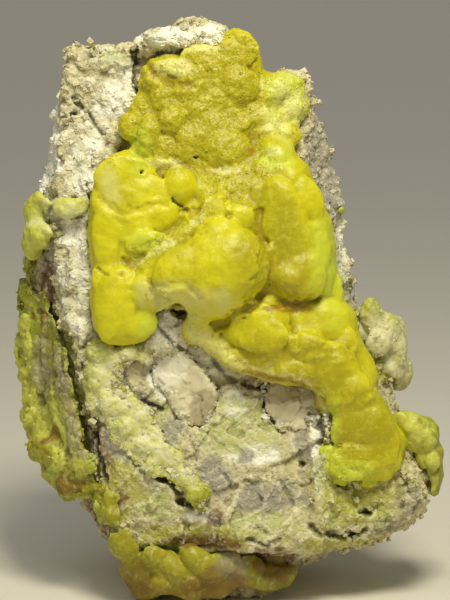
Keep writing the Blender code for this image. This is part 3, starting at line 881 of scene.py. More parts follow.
# Granular fluorite and altered rock, broken by hand: dull cream crumbs with clear grains that glint, grey
# where the grains are clean, brown where iron has stained it and in a few patches of painted shadow, and
# darker with painted shade in its pores, hollows and cracks.
HOST_ROCK = StoneFinish(
    name="granular_host_rock",
    base="#C3B98F",
    tints=(
        Tint("#D0C8A0", 0.8, None, BLOTCHES, 1.8, 0.45, 0.6),
        Tint("#9C9068", 0.6, None, BLOTCHES, 2.6, 0.52, 0.66),
        Tint("#E2DCB8", 0.6, None, GRAINS, 0.7, 0.0, 0.22),
        Tint("#857A56", 0.5, None, GRAINS, 0.5, 0.0, 0.16),
        Tint("#F9F7EA", 0.9, Mark.PALE, BLOTCHES, 1.5, 0.2, 0.44),
        Tint("#B3B86C", 0.8, Mark.GREEN, BLOTCHES, 2.2, 0.32, 0.55),
        Tint("#958F84", 0.8, Mark.GREY),
        Tint("#A9A52C", 0.85, Mark.OLIVE, BLOTCHES, 2.0, 0.25, 0.5),
        # Painted shade in the hollows and pores.
        Tint("#7E6F48", 0.5, Mark.HOLLOW),
        Tint("#6A4218", 0.8, Mark.STAIN),
        # Painted shade inside the cracks and pits.
        Tint("#2A1E0C", 0.92, Mark.DARK),
        # A painted highlight on the crowns.
        Tint("#F1EBCB", 0.4, Mark.CROWN),
    ),
    grains=(Grain(0.9, 0.2), Grain(0.5, 0.14), Grain(0.4, 0.08, None, False)),
    roughness=0.8,
    ior=1.5,
    glow=0.1,
    glow_radius=(1.0, 0.8, 0.5),
    glow_depth=0.5,
    sparkle_size=0.45,
    sparkle_share=0.06,
)

# Fluorite cleaved across its crystals: smoky grey, clear enough to look deep, with fine steps where it split.
FLUORITE = StoneFinish(
    name="cleaved_fluorite",
    base="#E6DDBC",
    tints=(
        Tint("#D9CEA8", 0.7, None, BLOTCHES, 2.6, 0.45, 0.6),
        Tint("#E4DCBC", 0.6, None, BLOTCHES, 1.0, 0.55, 0.7),
        Tint("#FAF4DC", 0.85, Mark.PALE),
        Tint("#A3946C", 0.7, Mark.GREY),
        # Painted shade in the hollows.
        Tint("#8E8056", 0.45, Mark.HOLLOW),
        # Painted shade inside the cracks and pits.
        Tint("#7B5F34", 0.8, Mark.DARK),
    ),
    grains=(Grain(0.9, 0.06, None, False), Grain(0.4, 0.02, None, False)),
    roughness=0.34,
    ior=1.434,
    glow=0.35,
    glow_radius=(1.0, 0.9, 0.7),
    glow_depth=1.5,
    sparkle_size=0.8,
    sparkle_share=0.1,
    clearness=0.08,
)


# Meshes


def take_mesh(obj: bpy.types.Object, mesh: bpy.types.Mesh) -> None:
    """Gives the object another mesh and drops the one it had.

    Args:
        obj: the object.
        mesh: the mesh that it gets.
    """
    old = obj.data
    obj.data = mesh
    bpy.data.meshes.remove(old)


def apply_modifiers(obj: bpy.types.Object) -> None:
    """Gives the object the mesh that its modifiers make, and clears them.

    Args:
        obj: the object.
    """
    graph = bpy.context.evaluated_depsgraph_get()
    mesh = bpy.data.meshes.new_from_object(obj.evaluated_get(graph))
    obj.modifiers.clear()
    take_mesh(obj, mesh)


def put(name: str, data: bpy.types.ID, place: Place | Vector = (0.0, 0.0, 0.0)) -> bpy.types.Object:
    """Adds an object to the scene, with its place in metres.

    Args:
        name: its name.
        data: its mesh, light or camera.
        place: where it is, in metres.

    Returns:
        The object.
    """
    obj = bpy.data.objects.new(name, data)
    bpy.context.scene.collection.objects.link(obj)
    obj.location = place
    return obj


def copy_of(node: str, name: str) -> bpy.types.Object:
    """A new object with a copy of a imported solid's mesh.

    Args:
        node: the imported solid.
        name: the new object's name.

    Returns:
        The object, without a material.
    """
    made = put(name, bpy.data.objects[node].data.copy())
    made.data.materials.clear()
    return made


def skin_over(obj: bpy.types.Object, voxel: float) -> None:
    """Makes one even skin round everything in the object.

    Args:
        obj: the object.
        voxel: how far apart the skin's points are, in millimetres.
    """
    remesh = obj.modifiers.new("skin", "REMESH")
    remesh.mode = "VOXEL"
    remesh.voxel_size = voxel * MM
    apply_modifiers(obj)


def thin_out(obj: bpy.types.Object, faces: int, keep: Array) -> None:
    """Thins the mesh, most where keep is zero and least where it is one.

    Args:
        obj: the object.
        faces: about how many triangles are left.
        keep: for each point, how dense the mesh stays there, from 0 to 1.
    """
    thin = obj.modifiers.new("thin", "DECIMATE")
    obj.data.calc_loop_triangles()
    thin.ratio = min(1.0, faces / len(obj.data.loop_triangles))
    group = obj.vertex_groups.new(name="spare")
    levels = np.round((1.0 - keep) * KEPT_LEVELS).astype(int)
    for level in range(1, KEPT_LEVELS + 1):
        group.add(np.flatnonzero(levels == level).tolist(), level / KEPT_LEVELS, "REPLACE")
    thin.vertex_group = "spare"
    thin.vertex_group_factor = 1.0
    apply_modifiers(obj)
    obj.vertex_groups.clear()


def add_forms(obj: bpy.types.Object, balls: list[Matrix], blocks: list[Matrix]) -> None:
    """Adds balls of radius one and blocks of side one to the object's mesh, each placed by its matrix.

    Args:
        obj: the object.
        balls: where the balls go.
        blocks: where the blocks go.
    """
    bm = bmesh.new()
    for matrix in blocks:
        bmesh.ops.create_cube(bm, size=1.0, matrix=matrix)
    for matrix in balls:
        bmesh.ops.create_icosphere(bm, subdivisions=4, radius=1.0, matrix=matrix)
    bm.from_mesh(obj.data)
    bm.to_mesh(obj.data)
    bm.free()


def hull_of(obj: bpy.types.Object) -> BVHTree:
    """The object's mesh, ready for rays.

    Args:
        obj: the object.

    Returns:
        The tree of its faces.
    """
    bm = bmesh.new()
    bm.from_mesh(obj.data)
    hull = BVHTree.FromBMesh(bm)
    bm.free()
    return hull


@dataclass
class Growth:
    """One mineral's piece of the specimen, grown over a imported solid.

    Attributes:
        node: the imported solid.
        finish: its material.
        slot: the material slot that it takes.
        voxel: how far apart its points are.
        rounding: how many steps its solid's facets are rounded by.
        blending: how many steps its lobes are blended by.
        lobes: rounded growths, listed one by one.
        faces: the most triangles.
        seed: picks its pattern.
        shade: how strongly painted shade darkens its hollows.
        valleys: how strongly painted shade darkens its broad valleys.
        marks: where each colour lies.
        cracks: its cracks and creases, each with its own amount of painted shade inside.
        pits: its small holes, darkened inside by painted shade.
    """

    node: str
    finish: StoneFinish
    slot: str
    voxel: float = 0.4
    rounding: int = 5
    blending: int = 2
    lobes: tuple[Lobe, ...] = ()
    faces: int = 190000
    seed: int = 1
    shade: float = 1.0
    valleys: float = 0.0
    marks: dict[Mark, tuple[Patch | Streak, ...]] = field(default_factory=dict)
    cracks: tuple[Streak, ...] = ()
    pits: tuple[Patch, ...] = ()

    def build(self) -> bpy.types.Object:
        """Makes the piece: its skin, its relief, its marks and its material.

        Returns:
            The piece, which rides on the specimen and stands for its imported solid.
        """
        piece = copy_of(self.node, self.node + "_surface")
        self.form(piece)
        surface = Surface(piece)
        self.raise_relief(surface)
        self.sink_cracks(surface)
        surface.stand()
        thin_out(piece, self.faces, self.detail(surface))
        self.leave_marks(Surface(piece))
        piece.data.polygons.foreach_set("use_smooth", np.ones(len(piece.data.polygons), bool))
        piece.data.materials.append(self.finish.material())
        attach(piece, ROOT)
        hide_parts(self.node)
        piece["grown_slot"] = self.slot
        return piece

    def form(self, piece: bpy.types.Object) -> None:
        """Makes the dense skin with its lobes.

        Args:
            piece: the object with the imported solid's mesh.
        """
        skin_over(piece, self.voxel * 1.3 * COARSE)
        surface = Surface(piece)
        surface.soften(self.rounding)
        hull = hull_of(piece)
        balls = [lobe.matrix(hull) for lobe in self.lobes]
        add_forms(piece, [ball for ball in balls if ball], self.crumbs(surface))
        skin_over(piece, self.voxel * COARSE)
        Surface(piece).soften(self.blending)

    def crumbs(self, surface: Surface) -> list[Matrix]:
        """Blocky crumbs bedded in the skin."""
        return []

    def raise_relief(self, surface: Surface) -> None:
        """Raises the piece's own relief."""

    def sink_cracks(self, surface: Surface) -> None:
        """Sinks the cracks and pits into the front.

        Args:
            surface: the piece's dense mesh.
        """
        sunk = PIT_DEPTH * strongest(self.pits, surface)
        for crack in self.cracks:
            sunk = np.maximum(sunk, crack.depth * crack.weight(surface))
        surface.push(-sunk)

    def detail(self, surface: Surface) -> Array:
        """Where the mesh stays dense: one on the front, less where the piece sits on the rock."""
        return 0.25 + 0.75 * ramp(surface.facing(0, 1, 0), -0.4, 0.0)

    def leave_marks(self, surface: Surface) -> None:
        """Marks painted shade in the hollows and a painted highlight on the crowns, found by the shape,
        painted shade in the cracks and pits, and the colours by their patches.

        Args:
            surface: the piece's dense mesh.
        """
        # Painted shade in the hollows and broad valleys, and a painted highlight on the crowns.
        near, far = surface.hollow(CLOSE_STEPS), surface.hollow(WIDE_STEPS)
        hollows = ramp(near, 0.03, 0.2) * 0.5 + ramp(far, 0.1, 0.6) * 0.7
        if self.valleys:
            hollows += self.valleys * ramp(surface.hollow(VALLEY_STEPS), 0.05, 0.6)
        surface.leave(Mark.HOLLOW, self.shade * hollows)
        surface.leave(Mark.CROWN, ramp(-near, 0.02, 0.12))
        # Painted shade inside the pits and cracks.
        dark = strongest(self.pits, surface)
        for crack in self.cracks:
            dark = np.maximum(dark, crack.dark * crack.weight(surface))
        surface.leave(Mark.DARK, dark)
        for mark, places in self.marks.items():
            surface.leave(mark, strongest(places, surface))


@dataclass
class Crust(Growth):
    """A skin of smithsonite lobes.

    Attributes:
        swell: how far the skin is grown to meet the rock.
        lobe_size: the width of its small lobes.
        lobe_height: how far they stand out.
        grain_height: how far the grains on them stand out.
    """

    voxel: float = 0.27
    faces: int = 72000
    rounding: int = 12
    blending: int = 4
    swell: float = 0.1
    lobe_size: float = 3.0
    lobe_height: float = 0.5
    grain_height: float = 0.4

    def raise_relief(self, surface: Surface) -> None:
        """Grows the skin a little and raises soft swells, small lobes and grains on it.

        Args:
            surface: the piece's dense mesh.
        """
        surface.push(self.swell + 0.5 * layered_noise(surface.points, 4.0, self.seed))
        surface.raise_domes(self.lobe_height, self.lobe_size, self.seed + 10, 0.7)
        surface.raise_domes(self.grain_height, 1.4, self.seed + 20)
        surface.raise_domes(0.4 * self.grain_height, 0.8, self.seed + 30)


@dataclass
class FrontCrust(Crust):
    """The thick yellow crust: sugary above, in broad waxy lobes below, with a crumbly broken edge."""

    rounding: int = 20
    blending: int = 2

    def raise_relief(self, surface: Surface) -> None:
        """Raises small grains in the sugary field and soft swells on the broad lobes.

        Args:
            surface: the piece's dense mesh.
        """
        sugary = strongest(self.marks[Mark.SUGARY], surface)
        surface.push(self.swell + 0.3 * layered_noise(surface.points, 6.0, self.seed))
        surface.push((0.16 + 0.14 * sugary) * layered_noise(surface.points, 1.8, self.seed + 5))
        surface.raise_domes(0.05 + 0.3 * sugary, 3.2, self.seed + 10)
        surface.raise_domes(0.08 + 0.12 * sugary, 1.5, self.seed + 20)
        surface.raise_domes(0.03 + 0.06 * sugary, 0.8, self.seed + 30)


@dataclass
class HostRock(Growth):
    """The broken block: crumbly on its old faces, chipped and cracked on its fresh one.

    Attributes:
        crumb_count: how many blocky crumbs are bedded in it.
        fresh: where the fresh break is.
    """

    crumb_count: int = 1500
    fresh: tuple[Patch, ...] = ()

    def crumbs(self, surface: Surface) -> list[Matrix]:
        """Small turned blocks, about a third of each standing out, and fewer on the fresh break.

        Args:
            surface: the piece's dense mesh.

        Returns:
            A matrix for each block of side one.
        """
        luck = np.random.default_rng(5)
        chance = 1.0 - 0.75 * strongest(self.fresh, surface)
        found = []
        share = chance / chance.sum()
        for index in luck.choice(len(surface.points), self.crumb_count, replace=False, p=share):
            size = luck.uniform(0.8, 2.2) * luck.uniform(0.7, 1.3, 3)
            middle = surface.points[index] - surface.normals[index] * 0.25 * size.mean()
            turn = Matrix.Rotation(luck.uniform(0, math.pi), 4, Vector(luck.normal(size=3)).normalized())
            place = Matrix.Translation(Vector(middle) * MM)
            found.append(place @ turn @ Matrix.Diagonal((*(size * MM), 1.0)))
        return found

    def raise_relief(self, surface: Surface) -> None:
        """Raises rounded crumbs on the old faces and low slanted chips on the fresh one.

        Args:
            surface: the piece's dense mesh.
        """
        fresh = strongest(self.fresh, surface)
        old = 1.0 - fresh
        surface.push(0.5 * layered_noise(surface.points, 7.0, 31) - 0.7 * old - 0.35 * fresh)
        bent = surface.points + 0.8 * surface.wander(MIDDLING)[:, None]
        surface.push((0.15 + 0.6 * old) * (domes(bent, 2.6, 34) - 0.7))
        surface.raise_domes(0.12 + 0.4 * old, 1.4, 36)
        tilt = np.array(Matrix.Rotation(math.radians(40), 3, "Y"))
        slanted = surface.points @ tilt * np.array((1.0, 1.0, 0.5))
        surface.push((0.2 + 0.55 * fresh) * chips(slanted, 3.6, 32))
        surface.push((0.1 + 0.2 * fresh) * chips(surface.points, 1.5, 33))

    def detail(self, surface: Surface) -> Array:
        """Dense on the front, less so on the back."""
        return 0.25 + 0.75 * ramp(surface.face[:, 1], -12.0, 0.0)


@dataclass
class Crystal(Growth):
    """A cleaved fluorite crystal in the broken face."""

    swell: float = 0.7

    def form(self, piece: bpy.types.Object) -> None:
        """Makes the skin, with its corners a little worn."""
        skin_over(piece, self.voxel)
        Surface(piece).soften(2)

    def raise_relief(self, surface: Surface) -> None:
        """Grows the crystal's sides unevenly to meet the rock and raises its cleavage steps.

        Args:
            surface: the piece's dense mesh.
        """
        sides = 1.0 - ramp(surface.facing(0, 1, 0), 0.3, 0.8)
        surface.push(sides * self.swell * (1.0 + layered_noise(surface.points, 3.0, self.seed)))
        steps = 0.7 * chips(surface.points, 4.2, self.seed)
        surface.push(steps + 0.25 * chips(surface.points, 1.5, self.seed + 1))


BLOCK_CORNERS = np.array([(x, y, z) for x in (-0.5, 0.5) for y in (-0.5, 0.5) for z in (-0.5, 0.5)])
BLOCK_SIDES = np.array([(0, 1, 3, 2), (4, 6, 7, 5), (0, 4, 5, 1), (2, 3, 7, 6), (0, 2, 6, 4), (1, 5, 7, 3)])


def read_mark(mesh: bpy.types.Mesh, mark: Mark) -> Array:
    """The values of one mark at the mesh's points."""
    return read(mesh.attributes[mark.value].data, "value", 1)[:, 0]


@dataclass(frozen=True)
class Grit:
    """Angular grains bedded in a piece's surface, each a small block with uneven corners.

    Attributes:
        bed: the node whose piece they sit in.
        kind: the node of the mineral that they are made of.
        count: how many there are.
        smallest: the width of the smallest.
        largest: the width of the largest.
        sunk: how deep their middles lie, as a share of their width.
        seam: how much likelier a grain is where another piece touches the bed.
        plain: how likely a grain is elsewhere.
        mark: the mark of the bed that the grains follow, if any.
        finer: the mark of the bed where the grains are smaller and lie deeper, if any.
        seed: picks their places.
    """

    bed: str
    kind: str
    count: int
    smallest: float
    largest: float
    sunk: float = 0.15
    seam: float = 0.0
    plain: float = 1.0
    mark: Mark | None = None
    finer: Mark | None = None
    seed: int = 1

    def build(self, pieces: dict[str, bpy.types.Object]) -> bpy.types.Object:
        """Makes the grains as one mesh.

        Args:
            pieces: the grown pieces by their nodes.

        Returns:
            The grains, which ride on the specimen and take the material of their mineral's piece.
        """
        luck = np.random.default_rng(self.seed)
        surface = Surface(pieces[self.bed])
        chosen = self._choose(surface, pieces, luck)
        widths = self.smallest + (self.largest - self.smallest) * luck.random(len(chosen)) ** 2
        fine = read_mark(surface.mesh, self.finer)[chosen] if self.finer else np.zeros(len(chosen))
        widths *= 1.0 - FINER * fine
        depths = (self.sunk + DEEPER * fine) * widths
        middles = surface.points[chosen] - surface.normals[chosen] * depths[:, None]
        corners = self._blocks(middles, widths, luck)
        corners[:, :, 2] = corners[:, :, 2].clip(min=0.0)
        sides = (BLOCK_SIDES[None] + 8 * np.arange(len(chosen))[:, None, None]).reshape(-1, 4)
        mesh = bpy.data.meshes.new(f"{self.bed}_{self.kind}_grit")
        mesh.from_pydata((corners.reshape(-1, 3) * MM).tolist(), [], sides.tolist())
        grains = put(mesh.name, mesh)
        self._copy_marks(pieces[self.bed], grains, chosen)
        mesh.materials.append(pieces[self.kind].data.materials[0])
        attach(grains, ROOT)
        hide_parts(self.kind)
        return grains

    def _choose(
        self, surface: Surface, pieces: dict[str, bpy.types.Object], luck: np.random.Generator
    ) -> Array:
        """Picks the points that carry a grain.

        Args:
            surface: the bed's mesh.
            pieces: the grown pieces by their nodes.
            luck: the draws.

        Returns:
            The numbers of the points.
        """
        most = min(TRIES * self.count, len(surface.points))
        tries = luck.choice(len(surface.points), most, replace=False)
        chance = np.full(len(tries), self.plain)
        if self.mark:
            chance *= ramp(read_mark(surface.mesh, self.mark)[tries], 0.2, 0.9)
        chance *= 0.35 + 0.65 * ramp(surface.facing(0, 1, 0)[tries], -0.6, 0.0)
        chance *= ramp(surface.face[tries, 2], *OFF_FLOOR)
        hulls = [hull_of(piece) for node, piece in pieces.items() if node != self.bed]
        for place, index in enumerate(tries):
            chance[place] = self._near(Vector(surface.points[index] * MM), hulls, chance[place])
        count = min(self.count, np.count_nonzero(chance))
        return tries[luck.choice(len(tries), count, replace=False, p=chance / chance.sum())]

    def _near(self, point: Vector, hulls: list[BVHTree], chance: float) -> float:
        """The chance of a grain, which is none inside another piece and higher beside one.

        Args:
            point: the grain's place, in metres.
            hulls: the other pieces' meshes.
            chance: the chance so far.

        Returns:
            The new chance.
        """
        for hull in hulls:
            place, normal, _, _ = hull.find_nearest(point, TOUCHING * MM)
            if place is None:
                continue
            if (point - place).dot(normal) < 0.0:
                return 0.0
            chance += self.seam
        return chance

    def _blocks(self, middles: Array, widths: Array, luck: np.random.Generator) -> Array:
        """The corners of the turned blocks, as an array of n by 8 by 3.

        Args:
            middles: the grains' places, in millimetres.
            widths: their widths.
            luck: the draws.

        Returns:
            The corners, in millimetres.
        """
        count = len(widths)
        sizes = widths[:, None, None] * luck.uniform(0.7, 1.2, (count, 1, 3))
        corners = BLOCK_CORNERS * sizes * luck.uniform(0.55, 1.15, (count, 8, 3))
        turns = np.linalg.qr(luck.normal(size=(count, 3, 3)))[0]
        turns *= np.sign(np.linalg.det(turns))[:, None, None]
        return middles[:, None] + corners @ turns

    def _copy_marks(self, bed: bpy.types.Object, grains: bpy.types.Object, chosen: Array) -> None:
        """Gives each grain the marks of the place where it sits, without the painted shade of the hollows.

        Args:
            bed: the piece that they sit in.
            grains: the grains' object.
            chosen: the numbers of the bed's points that carry them.
        """
        for mark in Mark:
            if mark.value not in bed.data.attributes or mark is Mark.HOLLOW:
                continue
            values = read_mark(bed.data, mark)[chosen]
            attribute = grains.data.attributes.new(mark.value, "FLOAT", "POINT")
            attribute.data.foreach_set("value", np.repeat(values, 8).astype(np.float32))


@dataclass
class Studio:
    """The floor, the lights and the camera, in metres."""

    look_at: Place = (0.0, 0.006, 0.0552)
    distance: float = 0.45
    elevation: float = 9.0
    lens: float = 142.0

    def build(self) -> None:
        """Makes the floor, the lights and the camera."""
        self._floor()
        key = self._light("key_light", "AREA", (0.05, -0.18, 0.38), 1.4)
        key.size, key.color = 0.12, linear("#FAF5DC")[:3]
        self._light("top_light", "SUN", (-0.3, -0.5, 1.2), 0.5).angle = math.radians(50.0)
        self._camera()
        world = bpy.data.worlds.new("studio")
        bpy.context.scene.world = world
        world.use_nodes = True
        world.node_tree.nodes["Background"].inputs["Color"].default_value = linear("#A9A69C")
        world.node_tree.nodes["Background"].inputs["Strength"].default_value = 0.5
        bpy.context.scene.view_settings.view_transform = "Standard"

    def _floor(self) -> None:
        """A wide, plain, pale floor."""
        bm = bmesh.new()
        bmesh.ops.create_grid(bm, x_segments=1, y_segments=1, size=6.0)
        mesh = bpy.data.meshes.new("floor")
        bm.to_mesh(mesh)
        bm.free()
        floor = put("floor", mesh)
        material = bpy.data.materials.new("matt_paint")
        material.use_nodes = True
        shader = material.node_tree.nodes["Principled BSDF"]
        shader.inputs["Base Color"].default_value = linear("#E0DBCE")
        shader.inputs["Roughness"].default_value = 0.7
        mesh.materials.append(material)

    def _aim(self, obj: bpy.types.Object) -> None:
        """Turns an object to look at the specimen."""
        way = Vector(self.look_at) - obj.location
        obj.rotation_euler = way.to_track_quat("-Z", "Y").to_euler()

    def _light(self, name: str, kind: str, place: Place, power: float) -> bpy.types.Light:
        """A light that looks at the specimen.

        Args:
            name: its name.
            kind: its type.
            place: where it is.
            power: its strength.

        Returns:
            The light.
        """
        light = bpy.data.lights.new(name, kind)
        light.energy = power
        self._aim(put(name, light, place))
        return light

    def _camera(self) -> None:
        """The camera at the photograph's angle."""
        camera = bpy.data.cameras.new("camera")
        camera.lens, camera.sensor_width, camera.clip_start = self.lens, 36.0, 0.01
        tilt = math.radians(self.elevation)
        back = Vector((0.0, -math.cos(tilt), math.sin(tilt))) * self.distance
        obj = put("camera", camera, Vector(self.look_at) + back)
        self._aim(obj)
        bpy.context.scene.camera = obj


# The sugary field at the top of the front crust.
TOP_LOBES = Lobe.rows(
    (2.8, 103.6, 3.4, 3.0, 0.4), (-3.7, 101.0, 4.8, 3.4, 0.4), (-9.9, 100.3, 4.1, 2.0, 0.7),
    (-13.9, 97.7, 1.9, 2.0, 0.5), (2.8, 96.8, 3.5, 3.4, 0.9), (-0.6, 93.8, 3.9, 2.6, 0.7),
    (-11.0, 94.3, 3.4, 2.4, 0.7), (-5.6, 92.8, 3.0, 2.6, 0.6), (-17.9, 89.3, 2.2, 2.6, 1.1),
    (-14.1, 88.4, 2.2, 3.0, 0.9), (-10.0, 90.2, 2.6, 2.4, 0.9), (-15.3, 84.8, 2.2, 2.2, 0.9),
    (-11.2, 86.1, 3.2, 2.4, 0.8), (-5.4, 87.3, 3.7, 3.4, 1.0), (-1.7, 88.9, 3.0, 2.4, 0.7),
    (0.6, 84.5, 4.5, 3.7, 1.3), (-3.7, 81.3, 3.4, 2.2, 0.4), (2.0, 90.4, 2.6, 2.2, 0.4),
    (5.8, 91.4, 3.0, 2.2, 0.6), (7.6, 88.4, 2.2, 1.5, 0.4), (11.9, 87.8, 2.6, 2.0, 1.2),
    (9.5, 95.5, 1.9, 3.2, 0.6, -25.0), (12.5, 93.2, 1.9, 2.4, 0.4), (7.3, 94.3, 1.9, 2.4, 0.5),
    (14.1, 96.9, 1.1, 1.9, 0.3), (-11.9, 82.2, 3.7, 0.9, 0.4),
)

# The broad sheet on the left, with the round ball beside it, and the ridge that runs down to the left.
LEFT_LOBES = Lobe.rows(
    (-18.8, 79.2, 5.2, 4.1, 0.6), (-14.7, 74.4, 6.0, 5.2, 0.4), (-22.3, 68.6, 2.4, 5.6, 0.5),
    (-22.7, 76.1, 2.0, 4.5, 0.4), (-14.3, 67.1, 3.9, 2.0, 0.5, 8.0), (-18.0, 70.5, 3.7, 3.0, 0.3),
    (-8.4, 77.8, 3.0, 3.4, 1.0, 0.0, 0.8), (-11.5, 72.3, 3.0, 2.6, 0.3),
    (-19.6, 56.0, 4.1, 6.4, 0.5, -12.0, 0.5), (-14.0, 57.4, 4.4, 3.4, 0.4, 20.0, 0.5),
    (-12.6, 54.0, 2.6, 2.4, 0.5, 0.0, 0.5), (-11.2, 57.0, 3.0, 2.8, 0.4, 0.0, 0.5),
    (-10.8, 54.8, 2.2, 2.0, 0.4, 0.0, 0.5), (-5.4, 50.6, 2.6, 2.2, 0.5, 0.0, 0.5),
    (-18.2, 60.9, 4.4, 3.6, 0.5), (-21.6, 61.0, 3.0, 3.4, 0.4), (-15.8, 52.6, 3.2, 2.8, 0.3),
    (-21.9, 53.0, 2.0, 3.7, 0.5), (-18.4, 49.8, 4.5, 1.7, 0.4), (-13.9, 55.0, 1.9, 1.9, 0.3),
    (-6.5, 69.4, 4.8, 1.3, 0.6, 35.0), (-12.1, 65.3, 4.5, 1.3, 0.4, 32.0), (-1.5, 73.4, 3.0, 2.6, 1.2),
    (3.3, 72.3, 2.8, 2.6, 1.1), (-4.7, 71.4, 2.2, 1.5, 0.4),
)

# The big swollen lobe in the middle and the ones on its right.
MIDDLE_LOBES = Lobe.rows(
    (-2.4, 61.6, 9.4, 7.4, 0.6, 25.0, 0.8), (-7.4, 62.2, 6.0, 4.2, 0.4, 30.0, 0.6),
    (2.6, 64.2, 4.4, 5.6, 0.4, 0.0, 0.6), (-1.6, 56.8, 5.4, 3.6, 0.4, 0.0, 0.6),
    (-9.9, 56.9, 4.1, 1.9, 0.4, -25.0), (-4.7, 53.5, 2.4, 2.2, 0.4), (-12.2, 56.6, 3.6, 3.4, 0.6),
    (-8.0, 54.8, 3.8, 3.4, 0.6), (-4.4, 51.6, 3.4, 3.2, 0.5), (6.9, 69.4, 2.2, 2.6, 0.4),
    (8.0, 63.8, 1.9, 3.4, 0.3), (8.4, 79.8, 3.4, 4.1, 0.8), (9.5, 82.8, 1.9, 1.7, 0.5),
    (11.2, 67.0, 4.8, 11.4, 0.6, 10.0, 0.5), (14.6, 74.6, 3.6, 5.0, 0.4, 14.0, 0.5),
    (16.6, 67.0, 3.4, 5.4, 0.4, 10.0, 0.5), (15.6, 60.6, 3.6, 4.0, 0.4, 0.0, 0.5),
    (8.6, 74.6, 3.0, 3.6, 0.3, 0.0, 0.5), (6.5, 75.0, 1.9, 3.0, 0.4), (17.9, 59.7, 2.2, 4.1, 0.4),
    (20.6, 58.2, 1.5, 3.4, 0.3),
)

# The lobes that run down to the right and end at the lower corner, and the crumbly edge below them.
LOWER_LOBES = Lobe.rows(
    (5.4, 52.8, 6.2, 4.8, 0.7, 0.0, 0.6), (7.1, 50.0, 4.5, 3.2, 0.5), (14.9, 47.8, 4.5, 2.6, 0.7, -15.0),
    (18.6, 52.4, 4.8, 4.4, 0.5, 0.0, 0.5), (20.5, 43.5, 4.4, 5.2, 0.5, 30.0, 0.5),
    (22.3, 48.5, 2.2, 3.7, 0.4), (15.8, 42.5, 4.1, 1.7, 0.4, -20.0), (23.2, 38.8, 4.3, 4.3, 0.4, 0.0, 0.5),
    (18.8, 37.7, 2.2, 3.0, 0.4), (26.2, 32.5, 5.6, 4.6, 0.4, -20.0, 0.5), (21.8, 31.7, 2.2, 2.6, 0.4),
    (28.3, 27.8, 4.4, 4.4, 0.4, 0.0, 0.5), (23.2, 26.5, 3.7, 3.4, 0.5), (30.3, 30.6, 2.2, 4.5, 0.4),
    (18.2, 35.4, 1.4, 1.8, 0.8), (18.9, 31.8, 1.3, 2.0, 0.9), (19.3, 28.2, 1.6, 1.6, 1.0),
    (19.6, 25.2, 1.5, 1.4, 1.0), (21.4, 23.4, 1.6, 1.2, 1.0), (22.6, 25.4, 1.7, 1.5, 0.8),
    (24.0, 22.6, 1.6, 1.3, 1.0), (26.8, 23.2, 1.7, 1.3, 0.9), (26.0, 25.6, 2.0, 1.6, 0.7),
    (29.4, 24.2, 1.7, 1.4, 0.9), (31.6, 26.6, 1.4, 1.9, 0.8), (-2.2, 47.6, 3.7, 1.3, 0.4, -38.0),
    (3.7, 44.4, 4.1, 1.5, 0.4, -15.0), (11.2, 43.8, 3.7, 1.5, 0.4),
)

# The green band on the left of the broken face, from its upper end down.
BAND_LOBES = Lobe.rows(
    (-23.2, 47.4, 2.6, 2.2, 1.1), (-18.0, 47.0, 1.9, 1.7, 1.0), (-14.5, 47.4, 2.6, 1.5, 0.5),
    (-24.0, 42.5, 1.9, 2.8, 1.1), (-22.0, 37.6, 1.6, 2.4, 0.9), (-18.4, 37.7, 2.2, 2.4, 0.6),
    (-18.6, 32.8, 1.8, 2.2, 0.9), (-15.6, 29.6, 2.0, 1.8, 0.9), (-11.0, 27.8, 3.4, 2.2, 0.7, -30.0),
    (-13.4, 25.8, 2.0, 1.6, 0.8), (-7.3, 24.1, 3.0, 2.2, 0.5, -40.0), (-4.8, 20.9, 2.4, 2.2, 0.7),
)

SHOULDER_LOBES = Lobe.rows(
    (-33.9, 72.5, 1.7, 2.0, 1.0), (-29.8, 74.0, 2.2, 1.7, 0.9), (-27.0, 74.2, 1.5, 1.3, 0.5),
    (-31.6, 69.9, 1.9, 1.5, 0.6), (-34.8, 67.9, 1.7, 1.9, 0.9), (-33.1, 66.6, 1.3, 1.5, 0.5),
)

